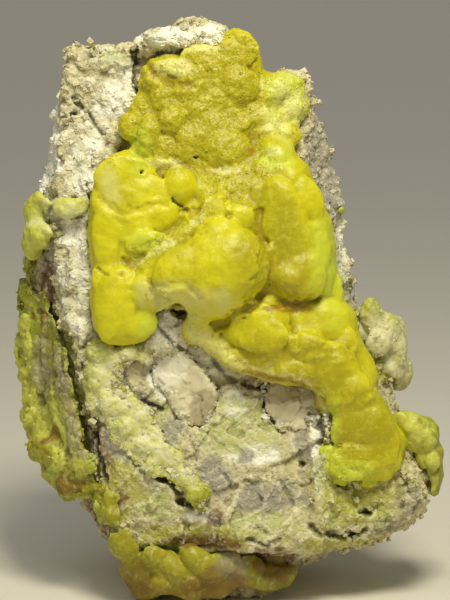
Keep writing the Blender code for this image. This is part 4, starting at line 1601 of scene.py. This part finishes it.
# Crumbs and plates that stand out of the rock: along the front crust, round the fluorite, beside the long
# valley, along the lip over the foot, on the cap and down the left column.
ROCK_LOBES = Lobe.rows(
    (-21.0, 87.6, 2.4, 2.6, 1.6), (-22.8, 83.0, 2.6, 2.4, 1.5), (-25.4, 78.2, 2.2, 3.0, 1.8),
    (-26.0, 72.6, 2.0, 3.4, 1.8), (-26.4, 66.6, 2.2, 3.2, 1.8), (-25.6, 61.2, 2.4, 2.8, 1.6),
    (-26.2, 56.0, 2.0, 3.0, 1.4), (-26.4, 51.0, 1.8, 2.6, 1.2), (-18.2, 93.6, 2.0, 3.0, 1.2),
    (14.6, 84.0, 2.2, 2.8, 1.6), (16.6, 79.2, 2.0, 3.0, 1.4), (18.8, 73.4, 1.8, 3.2, 1.2),
    (20.6, 67.0, 1.6, 3.4, 1.2), (15.8, 89.6, 1.8, 2.8, 1.0), (-12.1, 42.7, 2.4, 1.5, 0.5, -25.0),
    (-10.2, 39.0, 3.0, 1.7, 0.7, -35.0), (-13.9, 40.3, 1.9, 1.5, 0.4), (-3.7, 42.7, 1.9, 1.5, 0.5),
    (0.0, 39.6, 2.0, 1.7, 0.5), (-1.3, 43.3, 1.7, 1.1, 0.4), (-8.0, 33.4, 1.7, 1.1, 0.4),
    (1.3, 35.8, 2.0, 1.7, 0.5), (4.7, 37.7, 1.9, 1.5, 0.4), (6.9, 34.7, 2.0, 1.7, 0.5),
    (13.6, 35.8, 0.9, 2.2, 0.4), (16.2, 30.6, 0.9, 5.6, 0.7, 4.0), (16.9, 23.2, 0.9, 5.6, 0.7, 4.0),
    (3.7, 32.9, 3.0, 1.7, 0.4), (0.6, 29.7, 2.2, 1.9, 0.4), (6.9, 30.1, 3.0, 1.5, 0.5),
    (11.2, 28.8, 2.2, 3.0, 0.4), (-4.7, 38.1, 0.9, 1.7, 0.4, 40.0), (-13.0, 37.7, 1.7, 1.1, 0.4),
    (-6.3, 47.0, 1.3, 1.7, 0.4), (-13.9, 47.4, 1.7, 1.7, 0.4), (8.4, 12.0, 2.2, 2.0, 0.9),
    (3.7, 13.5, 2.2, 1.9, 0.8), (-0.6, 16.8, 2.6, 1.3, 0.6), (4.7, 18.5, 2.2, 1.7, 0.4),
    (11.2, 13.9, 2.6, 1.7, 0.6), (16.2, 12.7, 3.0, 1.3, 0.5), (-10.2, 14.2, 3.0, 1.5, 0.6),
    (-14.9, 15.3, 2.2, 1.5, 0.5), (-5.6, 16.1, 2.2, 1.5, 0.5), (19.5, 19.4, 2.2, 1.9, 0.4),
    (23.6, 16.5, 2.6, 1.5, 0.5), (22.3, 13.9, 3.7, 1.1, 0.5), (-19.5, 30.6, 1.7, 2.2, 0.5),
    (-17.3, 26.5, 1.7, 2.2, 0.5), (-21.9, 34.7, 1.3, 2.2, 0.4), (28.8, 19.4, 2.2, 1.9, 0.5),
    (34.0, 20.9, 1.9, 2.2, 0.5), (-7.4, 105.1, 3.7, 1.9, 0.9), (-12.1, 105.9, 2.6, 1.5, 0.8),
    (-2.4, 105.9, 2.6, 1.7, 0.8), (-13.9, 103.6, 1.7, 1.5, 0.6), (-23.2, 101.4, 3.7, 1.9, 0.7),
    (-26.0, 97.7, 2.2, 2.2, 0.8), (-21.4, 94.9, 3.0, 2.6, 0.7), (-26.6, 89.9, 2.2, 2.6, 0.7),
    (-21.4, 87.4, 2.2, 2.6, 0.6), (-27.0, 81.9, 2.6, 2.6, 0.7), (-29.6, 77.2, 2.6, 2.6, 0.6),
    (-25.5, 73.5, 2.2, 3.0, 0.5), (-27.9, 66.0, 2.6, 2.6, 0.5), (-26.0, 58.6, 2.2, 2.6, 0.5),
    (-28.5, 53.0, 1.7, 2.2, 0.5), (-27.0, 48.3, 1.5, 1.9, 0.4),
)

FOOT_LOBES = Lobe.rows(
    (-9.9, 7.1, 3.8, 2.2, 1.9, -48.0), (-5.0, 8.3, 3.8, 2.3, 1.7, -35.0), (-6.5, 4.5, 2.4, 1.7, 1.2),
    (-2.4, 5.3, 2.2, 1.5, 0.7), (-13.0, 9.2, 2.2, 1.7, 0.6), (-19.5, 16.6, 1.9, 2.2, 0.8),
    (-17.3, 13.9, 2.2, 2.2, 0.7), (-18.0, 10.5, 1.9, 1.7, 0.6), (-14.9, 11.1, 2.2, 1.5, 0.5),
    (-14.9, 6.0, 1.3, 2.6, 0.7), (-12.5, 3.8, 2.2, 1.1, 0.5), (-23.2, 20.4, 1.7, 1.9, 0.7),
    (-2.2, 12.7, 2.6, 1.9, 0.9), (-4.7, 13.9, 1.9, 1.3, 0.5), (-21.0, 20.0, 1.5, 1.5, 0.5),
    (0.9, 7.9, 2.2, 1.9, 0.4), (4.7, 7.1, 2.6, 1.9, 0.4), (9.3, 8.3, 2.2, 2.6, 0.5),
)

CORNER_LOBES = Lobe.rows(
    (32.9, 33.4, 1.7, 2.2, 0.6), (35.3, 30.6, 2.2, 2.6, 0.8), (37.2, 27.3, 1.3, 2.6, 0.5),
    (36.3, 22.2, 1.9, 2.6, 0.6), (34.0, 35.1, 1.5, 1.1, 0.5), (38.4, 30.6, 1.6, 2.0, 0.9),
    (39.2, 26.8, 1.3, 2.0, 0.9), (38.2, 23.6, 1.6, 1.7, 0.9), (36.6, 19.4, 1.5, 1.7, 0.8),
    (33.4, 29.4, 1.4, 1.8, 0.8), (34.6, 25.8, 1.6, 1.8, 0.9),
)

RIGHT_LOBES = Lobe.rows(
    (26.2, 50.7, 1.7, 1.9, 0.6), (28.8, 48.3, 2.2, 2.2, 0.7), (30.7, 44.6, 1.7, 2.2, 0.6),
    (27.3, 45.5, 1.9, 2.2, 0.3), (26.6, 40.9, 1.7, 1.9, 0.5), (29.2, 39.6, 1.5, 1.9, 0.5),
)

# Ribs and lobes of the left flank, from its own side.
FLANK_LOBES = Lobe.rows(
    (-25.6, 63.4, 2.4, 3.2, 0.9), (-25.0, 56.0, 1.8, 4.6, 0.7), (-22.8, 51.6, 2.4, 3.0, 0.9),
    (-15.6, 52.4, 3.0, 2.6, 0.8), (-26.4, 47.0, 1.6, 4.0, 1.0), (-22.0, 46.8, 1.9, 4.8, 0.9),
    (-19.6, 41.6, 1.8, 4.2, 0.7), (-16.9, 45.0, 1.4, 5.2, 0.6), (-11.8, 46.6, 1.6, 6.0, 0.9, 8.0),
    (-9.0, 40.4, 2.8, 3.4, 0.9), (-20.6, 35.6, 2.3, 4.8, 1.0), (-24.6, 33.8, 2.6, 2.6, 1.2),
    (-16.4, 37.0, 1.4, 5.0, 0.7), (-12.8, 36.4, 1.6, 6.2, 0.9, 10.0), (-15.4, 28.6, 4.4, 3.0, 1.3),
    (-10.6, 26.8, 2.6, 2.8, 0.8), (-6.4, 31.6, 2.2, 5.2, 0.9, 14.0), (-4.6, 26.6, 3.6, 2.8, 0.9),
    (-8.2, 22.0, 3.0, 2.0, 0.6), (-3.2, 19.6, 3.0, 3.4, 1.0), (-6.6, 50.0, 1.6, 4.0, 0.5),
    (-4.2, 42.0, 1.4, 5.0, 0.5), view=View.LEFT,
)

# The creases between the front crust's lobes, and its broken lower edge. Where the creases are darkened
# inside, the dark is painted shade.
GROOVE = ((-15.6, 102.7), (-13.4, 99.2), (-10.6, 97.3), (-6.1, 97.1))
CREASES = (
    Streak(GROOVE, 1.8, 0.5, 0.0, 0.0),
    Streak(((6.5, 57.0), (9.3, 55.9), (12.1, 56.0), (16.6, 56.8)), 1.0, 0.4, 0.35),
    Streak(((-12.3, 80.5), (-11.5, 79.4)), 0.6, 0.5, 0.9),
    Streak(((-9.9, 75.3), (-8.2, 74.2), (-6.5, 73.0)), 0.5, 0.5, 0.9, 0.2),
    Streak(((-14.0, 59.9), (-10.4, 59.0), (-7.4, 59.6), (-4.4, 56.7)), 1.0, 0.3, 0.0),
    Streak(((-23.6, 62.6), (-22.0, 61.4)), 0.5, 0.4, 0.9),
    Streak(((6.6, 73.0), (7.0, 68.0), (6.8, 62.0), (6.0, 57.0)), 1.6, 0.5, 0.0, 0.0),
    Streak(((-1.9, 51.6), (3.0, 54.3), (6.5, 57.0)), 1.6, 0.7, 0.1, 0.0),
    Streak(((12.1, 55.0), (13.4, 48.5)), 1.5, 0.4, 0.0, 0.0),
    Streak(((14.0, 46.5), (18.0, 47.6), (22.3, 47.4)), 1.5, 0.3, 0.0, 0.0),
    Streak(((19.5, 36.2), (23.5, 37.4), (27.9, 40.9)), 1.6, 0.25, 0.0, 0.0),
    Streak(((-23.3, 75.3), (-18.6, 72.5), (-11.2, 74.4)), 1.3, 0.3, 0.0, 0.0),
    Streak(((-17.7, 63.2), (-9.3, 70.6), (-1.9, 75.3)), 1.6, 0.4, 0.0, 0.0),
    Streak(((0.6, 75.6), (1.0, 72.0)), 0.9, 0.5, 0.0, 0.0),
)
LOWER_EDGE = Streak(
    (
        (-13.0, 57.6), (-8.5, 53.4), (-4.0, 48.2), (1.9, 45.0),
        (8.4, 42.6), (13.9, 42.0), (18.0, 37.0), (18.6, 31.0),
    ),
    3.6,
    broken=0.0,
)
FRESH_BREAK = Patch.rows((0.0, 31.0, 24.0, 23.0), (-6.0, 24.0, 17.0, 11.0))
# Pits in the front crust, darkened inside with painted shade.
SPECKS = Patch.rows(
    (-15.3, 80.4, 0.45, 0.35), (-5.4, 83.2, 0.4, 0.3), (-8.6, 54.7, 1.7, 1.0, -30.0),
    (20.5, 21.6, 0.9, 0.6), (24.2, 22.5, 1.0, 0.8), (26.0, 20.8, 1.2, 0.6),
)


def front_crust() -> FrontCrust:
    """The yellow crust down the front.

    Returns:
        The crust.
    """
    return FrontCrust(
        "front_crust",
        YELLOW_SMITHSONITE,
        "yellow_smithsonite",
        valleys=0.9,
        voxel=0.35,
        faces=170000,
        lobes=TOP_LOBES + LEFT_LOBES + MIDDLE_LOBES + LOWER_LOBES,
        marks={
            Mark.SUGARY: (
                *Patch.rows(
                    (-3.7, 94.0, 18.0, 16.0), (0.0, 77.5, 6.0, 3.4), (11.5, 95.0, 5.0, 7.0),
                    (22.0, 25.5, 6.0, 4.0, 0.0, 0.7, 0.5),
                ),
                Streak(((-16.8, 63.2), (-5.6, 70.7), (-2.2, 75.0)), 3.4, broken=0.0),
                LOWER_EDGE,
            ),
            # The crust's own olive; the patches over the lower right lobes also paint the shade that falls on
            # them.
            Mark.OLIVE: Patch.rows(
                (-4.0, 92.0, 14.0, 12.0), (22.0, 38.0, 7.0, 14.0, 30.0, 0.8, 0.7),
                (28.0, 29.0, 5.0, 7.0, 0.0, 0.8, 0.7), (14.0, 47.0, 9.0, 3.0, 0.0, 0.8, 0.7),
                (10.0, 66.0, 5.0, 12.0, 0.0, 1.0, 0.9), (5.0, 78.0, 3.0, 5.0),
            ),
            # Green crust; the small patch at the top of the right lobes is also partly a painted highlight.
            Mark.GREEN: Patch.rows(
                (11.5, 94.4, 4.6, 6.0), (9.3, 83.4, 3.2, 2.4), (-14.0, 52.5, 2.6, 4.0, 0.0, 0.9, 0.6),
                (-16.0, 84.6, 2.4, 4.0), (18.6, 64.0, 2.4, 7.0, 0.0, 1.0, 0.8),
                (20.6, 58.0, 2.4, 5.0, 0.0, 1.0, 0.8), (22.4, 24.6, 6.0, 2.6, 0.0, 1.1, 0.9),
                (19.0, 30.0, 1.8, 7.0, 0.0, 0.9, 0.6), (-14.2, 67.2, 4.2, 2.2, 0.0, 0.7, 0.6),
            ),
            # The long patch under the right lobes and the streak along the broken lower edge are painted
            # shadow; the rest are stains.
            Mark.STAIN: (
                *Patch.rows((12.0, 55.2, 5.0, 0.8), (5.0, 84.4, 1.0, 0.6, -30.0, 0.8, 0.7)),
                Streak(GROOVE, 0.9, broken=0.8),
                Streak(((3.6, 43.8), (8.4, 42.4), (13.9, 41.6), (17.4, 36.4)), 1.2, broken=0.8),
            ),
            # Pale crust; the oval on the left sheet and the small spot at the top of the right lobes are
            # painted highlights, and the band along the top adds painted light to the cap.
            Mark.PALE: (
                *Patch.rows(
                    (-8.0, 104.4, 8.0, 1.6), (-11.0, 56.0, 5.0, 2.6, -35.0, 0.9, 0.7),
                    (-3.0, 48.6, 4.0, 1.6, -38.0, 0.9, 0.7), (-9.6, 100.2, 3.6, 2.0),
                    (-11.0, 82.2, 3.4, 1.0), (0.0, 80.8, 2.6, 0.7), (-21.6, 78.6, 1.6, 3.0, 20.0, 0.9, 0.9),
                    (-7.0, 57.0, 7.0, 2.2, -10.0, 0.9, 0.6), (9.0, 84.2, 1.8, 0.9),
                    (12.0, 93.0, 4.0, 5.0, 0.0, 1.2, 0.9),
                ),
                Streak(((-16.8, 63.2), (-5.6, 70.7), (-2.2, 75.0)), 1.4, broken=0.8),
                Streak(LOWER_EDGE.line, 2.0, broken=0.8),
            ),
        },
        cracks=CREASES,
        pits=SPECKS,
    )


def host_rock() -> HostRock:
    """The block that everything grows on.

    Returns:
        The rock.
    """
    return HostRock(
        "host_rock",
        HOST_ROCK,
        "host_rock",
        voxel=0.42,
        rounding=6,
        blending=1,
        faces=180000,
        shade=0.7,
        lobes=ROCK_LOBES,
        fresh=FRESH_BREAK,
        # The dark inside these cracks is painted shade.
        cracks=(
            Streak(((-16.7, 104.0), (-16.9, 98.0), (-15.6, 94.0)), 1.2, 1.4, 1.0, 0.0),
            Streak(((-29.0, 95.0), (-26.4, 92.6), (-23.0, 88.0)), 0.8, 0.8),
            Streak(((-26.4, 78.6), (-25.0, 75.6), (-25.2, 68.0), (-22.8, 61.6)), 0.8, 0.8, 0.6, 0.4),
            Streak(((-25.1, 44.7), (-23.4, 38.8), (-20.2, 33.0), (-16.6, 27.8)), 0.9, 0.9, 0.7, 0.3),
            Streak(((-24.8, 34.0), (-23.6, 28.0), (-21.6, 22.6)), 1.0, 1.0, 0.9, 0.3),
            Streak(((-18.6, 41.0), (-15.0, 37.6), (-12.0, 36.6)), 0.8, 0.7, 0.6),
            Streak(((-13.6, 53.0), (-9.6, 48.6), (-5.6, 45.4)), 0.8, 0.7, 0.6),
            Streak(((-14.0, 24.6), (-9.6, 22.6), (-7.4, 19.2), (-3.7, 17.6)), 1.0, 1.2),
            Streak(((16.0, 14.8), (17.9, 13.2), (22.8, 12.8), (26.0, 13.6)), 1.0, 1.0),
            Streak(((-2.6, 45.6), (1.0, 41.6), (5.0, 40.6)), 0.8, 0.7, 0.7),
            Streak(((4.5, 40.6), (8.8, 40.6), (14.9, 40.0), (16.8, 36.4), (18.6, 30.2)), 1.1, 1.0, 0.8, 0.2),
            Streak(((-6.9, 32.4), (-5.6, 29.4), (-5.2, 27.0)), 0.6, 0.5, 0.5),
            Streak(((-6.6, 33.6), (-2.0, 31.2), (0.0, 29.2)), 0.5, 0.4, 0.3),
            Streak(((-1.0, 25.6), (1.6, 22.0), (0.6, 19.0)), 0.7, 0.5, 0.4, 0.9),
            Streak(((1.0, 24.2), (6.0, 22.6), (10.0, 23.6), (12.5, 19.0)), 0.5, 0.3, 0.3, 0.9),
            Streak(((4.0, 12.6), (7.4, 11.4), (10.0, 12.8)), 0.7, 0.5, 0.6),
            Streak(((-26.0, 74.0), (-12.0, 69.0), (2.0, 71.0), (14.0, 62.0)), 1.2, 1.2, 0.7, view=View.BACK),
            Streak(((2.0, 71.0), (6.0, 52.0), (0.0, 36.0), (4.0, 20.0)), 1.0, 1.0, 0.6, view=View.BACK),
            Streak(((-20.0, 40.0), (-6.0, 44.0), (3.0, 44.0)), 0.9, 0.9, 0.5, view=View.BACK),
            Streak(((-4.0, 88.0), (2.0, 66.0), (-2.0, 46.0), (4.0, 22.0)), 1.0, 1.0, 0.6, view=View.RIGHT),
        ),
        # Pits, darkened inside with painted shade.
        pits=Patch.rows(
            (-8.4, 54.6, 1.7, 1.1, -40.0), (-7.8, 19.0, 1.5, 0.8, -20.0), (10.6, 33.0, 0.6, 0.7),
            (14.4, 26.1, 0.6, 0.7), (26.2, 17.0, 1.2, 0.6), (-19.4, 83.6, 0.9, 1.4, 20.0),
            (-28.4, 91.8, 0.9, 0.8),
        ),
        marks={
            Mark.FRESH: FRESH_BREAK,
            # Pale rock; the band along the cap is its own white, raised further by painted light where the
            # top is lit.
            Mark.PALE: (
                *Patch.rows(
                    (-6.5, 105.5, 10.0, 3.6), (-21.0, 96.0, 4.0, 6.0, 0.0, 1.2, 0.9),
                    (-26.0, 70.0, 4.0, 16.0, 0.0, 1.2, 0.9), (-10.8, 40.6, 4.2, 2.2, -45.0),
                    (-11.0, 53.6, 4.4, 5.0, -30.0, 0.7, 0.5), (-4.0, 44.6, 5.0, 2.4, -38.0, 0.9, 0.6),
                    (-20.5, 29.4, 1.6, 4.0, 30.0), (1.4, 37.6, 2.2, 3.0), (5.0, 28.0, 5.0, 2.0),
                    (17.2, 28.0, 1.2, 9.0, 4.0), (-4.0, 16.6, 3.0, 1.6),
                    (22.0, 60.0, 3.0, 14.0, 0.0, 1.0, 0.9),
                ),
                *Patch.rows(
                    (6.0, 84.0, 14.0, 9.0, 25.0, 1.2), (-14.0, 42.0, 8.0, 12.0, -15.0, 1.2), view=View.BACK,
                ),
                *Patch.rows((2.0, 60.0, 7.0, 14.0, 10.0, 1.2), view=View.RIGHT),
                *Patch.rows((-20.0, 84.0, 8.0, 10.0, 0.0, 1.2), view=View.LEFT),
            ),
            Mark.GREEN: Patch.rows(
                (2.6, 32.6, 8.0, 5.0), (-14.0, 33.0, 4.0, 5.0, -20.0), (25.0, 17.0, 8.0, 5.0),
                (8.0, 15.0, 7.0, 3.0), (-12.0, 19.0, 6.0, 2.4), (-21.0, 102.6, 3.0, 1.2),
                (20.0, 24.0, 3.0, 7.0), (21.6, 59.6, 2.6, 6.0), (24.6, 42.0, 3.0, 3.0),
            ),
            # The rock's olive tinge; the patch low on the left also paints the shade under the green band.
            Mark.OLIVE: (
                *Patch.rows(
                    (-22.0, 20.0, 5.0, 6.0, 0.0, 0.9, 0.6), (24.0, 21.0, 9.0, 7.0, 0.0, 0.8, 0.8),
                    (-8.0, 12.0, 12.0, 3.0), (22.0, 11.4, 9.0, 1.6),
                ),
                *Patch.rows((-17.0, 36.0, 10.0, 20.0), view=View.LEFT),
                *Patch.rows((13.6, 47.0, 4.0, 8.0), view=View.RIGHT),
                Streak(((-23.0, 46.0), (-20.4, 38.0), (-13.8, 30.6), (-6.0, 21.0)), 4.0, broken=0.5),
            ),
            Mark.GREY: (
                *Patch.rows(
                    (-1.9, 23.4, 4.0, 4.0), (4.0, 27.6, 1.4, 1.4), (-11.0, 31.4, 2.0, 2.0),
                    (-9.1, 33.8, 1.8, 1.2, -40.0), (-15.4, 38.0, 3.0, 1.4, -40.0),
                    (-25.2, 38.8, 1.8, 5.0, -30.0), (-20.0, 42.6, 2.6, 1.6), (19.0, 80.0, 3.6, 16.0),
                    (23.4, 52.0, 3.0, 10.0, 0.0, 0.9, 0.7), (14.4, 30.0, 1.2, 12.0, 4.0),
                    (34.0, 20.0, 2.6, 3.0), (-1.0, 9.0, 3.0, 3.6), (28.0, 14.0, 7.0, 1.6),
                    (8.0, 20.0, 6.0, 3.0),
                ),
                *Patch.rows((-16.0, 60.0, 3.0, 7.0), view=View.LEFT),
                *Patch.rows(
                    (4.0, 50.0, 12.0, 8.0, 35.0, 1.2), (-4.0, 18.0, 14.0, 6.0, 0.0, 1.2), view=View.BACK,
                ),
            ),
            # Iron stains; the patches along the yellow crust's broken edge, in the recess at the far left and
            # low under the green band are painted shadow.
            Mark.STAIN: (
                *Patch.rows(
                    (9.0, 40.8, 6.4, 1.3), (17.0, 37.0, 1.3, 4.4), (9.3, 8.1, 4.0, 3.0),
                    (-3.7, 11.6, 7.0, 1.4), (-33.7, 58.6, 1.6, 5.0),
                    (-22.8, 28.0, 2.0, 7.0, 15.0, 1.0, 0.8), (-1.9, 16.6, 1.8, 1.6),
                    (-22.6, 17.6, 4.4, 5.4, 0.0, 0.6),
                ),
                *Patch.rows((-17.0, 57.0, 3.0, 5.0), view=View.LEFT),
                *Patch.rows(
                    (-8.0, 66.0, 9.0, 3.0, 30.0, 1.2), (14.0, 28.0, 6.0, 4.0, -20.0, 1.2), view=View.BACK,
                ),
            ),
        },
    )


def green_crusts() -> list[Crust]:
    """The thinner crusts on the flanks, the broken edge and the foot.

    Returns:
        The crusts, from the broken edge to the foot.
    """
    green = (GREEN_SMITHSONITE, "green_smithsonite")
    return [
        Crust(
            "edge_crust",
            *green,
            seed=3,
            swell=-0.2,
            lobe_height=0.4,
            grain_height=0.25,
            shade=0.4,
            lobes=BAND_LOBES,
            marks={
                Mark.GREEN: Patch.rows((-15.0, 34.0, 12.0, 16.0)),
                Mark.PALE: Patch.rows(
                    (-14.0, 34.0, 9.0, 9.0, -30.0, 0.9, 0.6), (-19.6, 42.0, 7.0, 6.0, 0.0, 0.9, 0.6),
                    (-9.0, 26.0, 4.0, 3.0, 0.0, 0.9, 0.7),
                ),
            },
        ),
        Crust(
            "left_flank_crust",
            *green,
            seed=4,
            swell=-0.8,
            lobe_height=0.6,
            lobes=FLANK_LOBES,
            marks={
                Mark.OLIVE: Patch.rows((-15.0, 42.0, 16.0, 26.0, 0.0, 1.2, 0.9), view=View.LEFT),
                Mark.GREEN: Patch.rows(
                    (-24.0, 38.0, 5.0, 26.0, 0.0, 1.0, 0.6), (-12.0, 30.0, 9.0, 7.0, 0.0, 0.8, 0.5),
                    view=View.LEFT,
                ),
                Mark.SUGARY: Patch.rows((-15.4, 28.6, 4.0, 3.0), (-3.4, 19.6, 4.0, 4.0), view=View.LEFT),
                Mark.GREY: Patch.rows(
                    (-16.8, 45.0, 2.8, 8.0, 0.0, 0.8, 0.6), (-9.4, 42.0, 3.2, 6.0, 0.0, 0.8, 0.6),
                    (-7.6, 33.0, 1.6, 5.0), (-4.0, 36.0, 2.6, 9.0, 0.0, 0.8, 0.6), (-18.4, 57.0, 1.6, 4.0),
                    view=View.LEFT,
                ),
                Mark.STAIN: Patch.rows(
                    (-12.8, 31.6, 1.6, 2.0), (-8.6, 22.0, 3.0, 1.6), (-18.0, 56.0, 2.6, 5.0),
                    view=View.LEFT,
                ),
            },
        ),
        Crust(
            "left_shoulder_crust",
            *green,
            seed=5,
            lobe_height=0.2,
            grain_height=0.2,
            lobes=SHOULDER_LOBES,
            marks={
                Mark.GREEN: Patch.rows((-33.0, 71.0, 10.0, 10.0)),
                Mark.PALE: Patch.rows((-31.0, 72.0, 4.0, 3.0, 0.0, 1.0, 0.8)),
            },
        ),
        Crust(
            "right_flank_crust",
            *green,
            seed=6,
            lobe_height=0.3,
            grain_height=0.25,
            shade=0.6,
            lobes=RIGHT_LOBES,
            marks={
                Mark.GREY: Patch.rows(
                    (26.6, 46.0, 2.2, 4.0), (28.0, 41.0, 1.6, 2.0), (28.0, 45.0, 7.0, 11.0, 0.0, 1.2, 0.9),
                ),
                Mark.PALE: Patch.rows((28.0, 44.6, 7.0, 11.0, 0.0, 0.7, 0.5)),
                Mark.GREEN: Patch.rows((29.0, 45.0, 8.0, 12.0)),
            },
        ),
        Crust("right_shoulder_crust", *green, seed=7, lobe_height=0.2),
        Crust(
            "corner_crust",
            *green,
            seed=8,
            lobe_height=0.3,
            grain_height=0.15,
            shade=0.6,
            lobes=CORNER_LOBES,
            marks={
                Mark.OLIVE: Patch.rows((37.0, 27.0, 6.0, 10.0, 0.0, 0.8, 0.7)),
                Mark.GREEN: Patch.rows(
                    (34.0, 32.0, 4.0, 6.0, 0.0, 0.8, 0.6), (38.4, 26.0, 2.0, 5.0, 0.0, 0.9),
                ),
                Mark.GREY: Patch.rows((35.0, 20.6, 2.0, 3.4)),
            },
        ),
        Crust(
            "foot_crust",
            *green,
            seed=9,
            lobe_height=0.2,
            grain_height=0.15,
            lobes=FOOT_LOBES,
            marks={
                # The foot's olive crust, made darker here to paint the shade of the foot under the lip.
                Mark.OLIVE: Patch.rows((-6.0, 6.0, 20.0, 14.0, 0.0, 0.4, 0.4)),
                Mark.SUGARY: Patch.rows((-12.0, 9.0, 12.0, 14.0, 0.0, 0.9, 0.7), (-3.0, 13.4, 6.0, 2.0)),
                Mark.GREEN: Patch.rows((-9.8, 7.0, 4.4, 2.8, -45.0), (-4.6, 8.4, 4.2, 2.8, -35.0)),
                Mark.GREY: Patch.rows((1.6, 7.6, 3.0, 4.0)),
                # Stains on the foot; the two wide patches along its bottom are painted shade.
                Mark.STAIN: Patch.rows(
                    (9.6, 7.8, 4.6, 5.0), (-4.6, 12.0, 6.0, 1.2), (-17.0, 3.0, 6.0, 3.0, 0.0, 1.2, 0.9),
                    (-1.0, 3.0, 9.0, 3.0, 0.0, 1.2, 0.9),
                ),
            },
        ),
    ]


def growths() -> list[Growth]:
    """The specimen's pieces, from the rock outwards.

    Returns:
        The pieces, in the order in which they are grown.
    """
    return [
        host_rock(),
        Crystal(
            "fluorite_centre",
            FLUORITE,
            "fluorite",
            voxel=0.25,
            seed=3,
            marks={
                Mark.PALE: Patch.rows((-10.0, 43.6, 2.6, 4.0, -30.0)),
                Mark.GREY: Patch.rows((-4.0, 36.6, 2.6, 3.4)),
            },
        ),
        Crystal(
            "fluorite_right",
            FLUORITE,
            "fluorite",
            voxel=0.25,
            seed=7,
            marks={Mark.GREY: Patch.rows((11.0, 39.4, 6.0, 2.0))},
        ),
        front_crust(),
        *green_crusts(),
    ]


def grit() -> list[Grit]:
    """The angular grains on and between the pieces.

    Returns:
        The grains, one entry for each mesh.
    """
    crusts = {"left_flank_crust": 900, "edge_crust": 260, "foot_crust": 200, "right_flank_crust": 160}
    return [
        Grit("host_rock", "host_rock", 10000, 0.5, 1.4, sunk=0.34, seam=3.0, finer=Mark.FRESH),
        Grit("fluorite_centre", "host_rock", 420, 0.4, 1.4, sunk=0.3, seam=1.0, plain=0.0, seed=2),
        Grit("fluorite_right", "host_rock", 300, 0.4, 1.2, sunk=0.3, seam=1.0, plain=0.0, seed=3),
        Grit("edge_crust", "host_rock", 420, 0.4, 1.2, sunk=0.28, seam=1.0, plain=0.12, seed=4),
        Grit("front_crust", "front_crust", 3000, 0.25, 0.6, sunk=0.38, mark=Mark.SUGARY, seed=5),
        *(Grit(node, node, count, 0.3, 0.8, sunk=0.34, seed=6) for node, count in crusts.items()),
    ]


def main() -> None:
    """Builds the specimen and the studio."""
    logging.basicConfig(level=logging.INFO, format="%(message)s")
    for obj in list(bpy.data.objects):
        bpy.data.objects.remove(obj)
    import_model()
    pieces = {growth.node: growth.build() for growth in growths()}
    grains = [few.build(pieces) for few in grit()]
    for piece in (*pieces.values(), *grains):
        LOG.info("%s: %d faces", piece.name, len(piece.data.polygons))
    Studio().build()


if __name__ == "__main__":
    main()
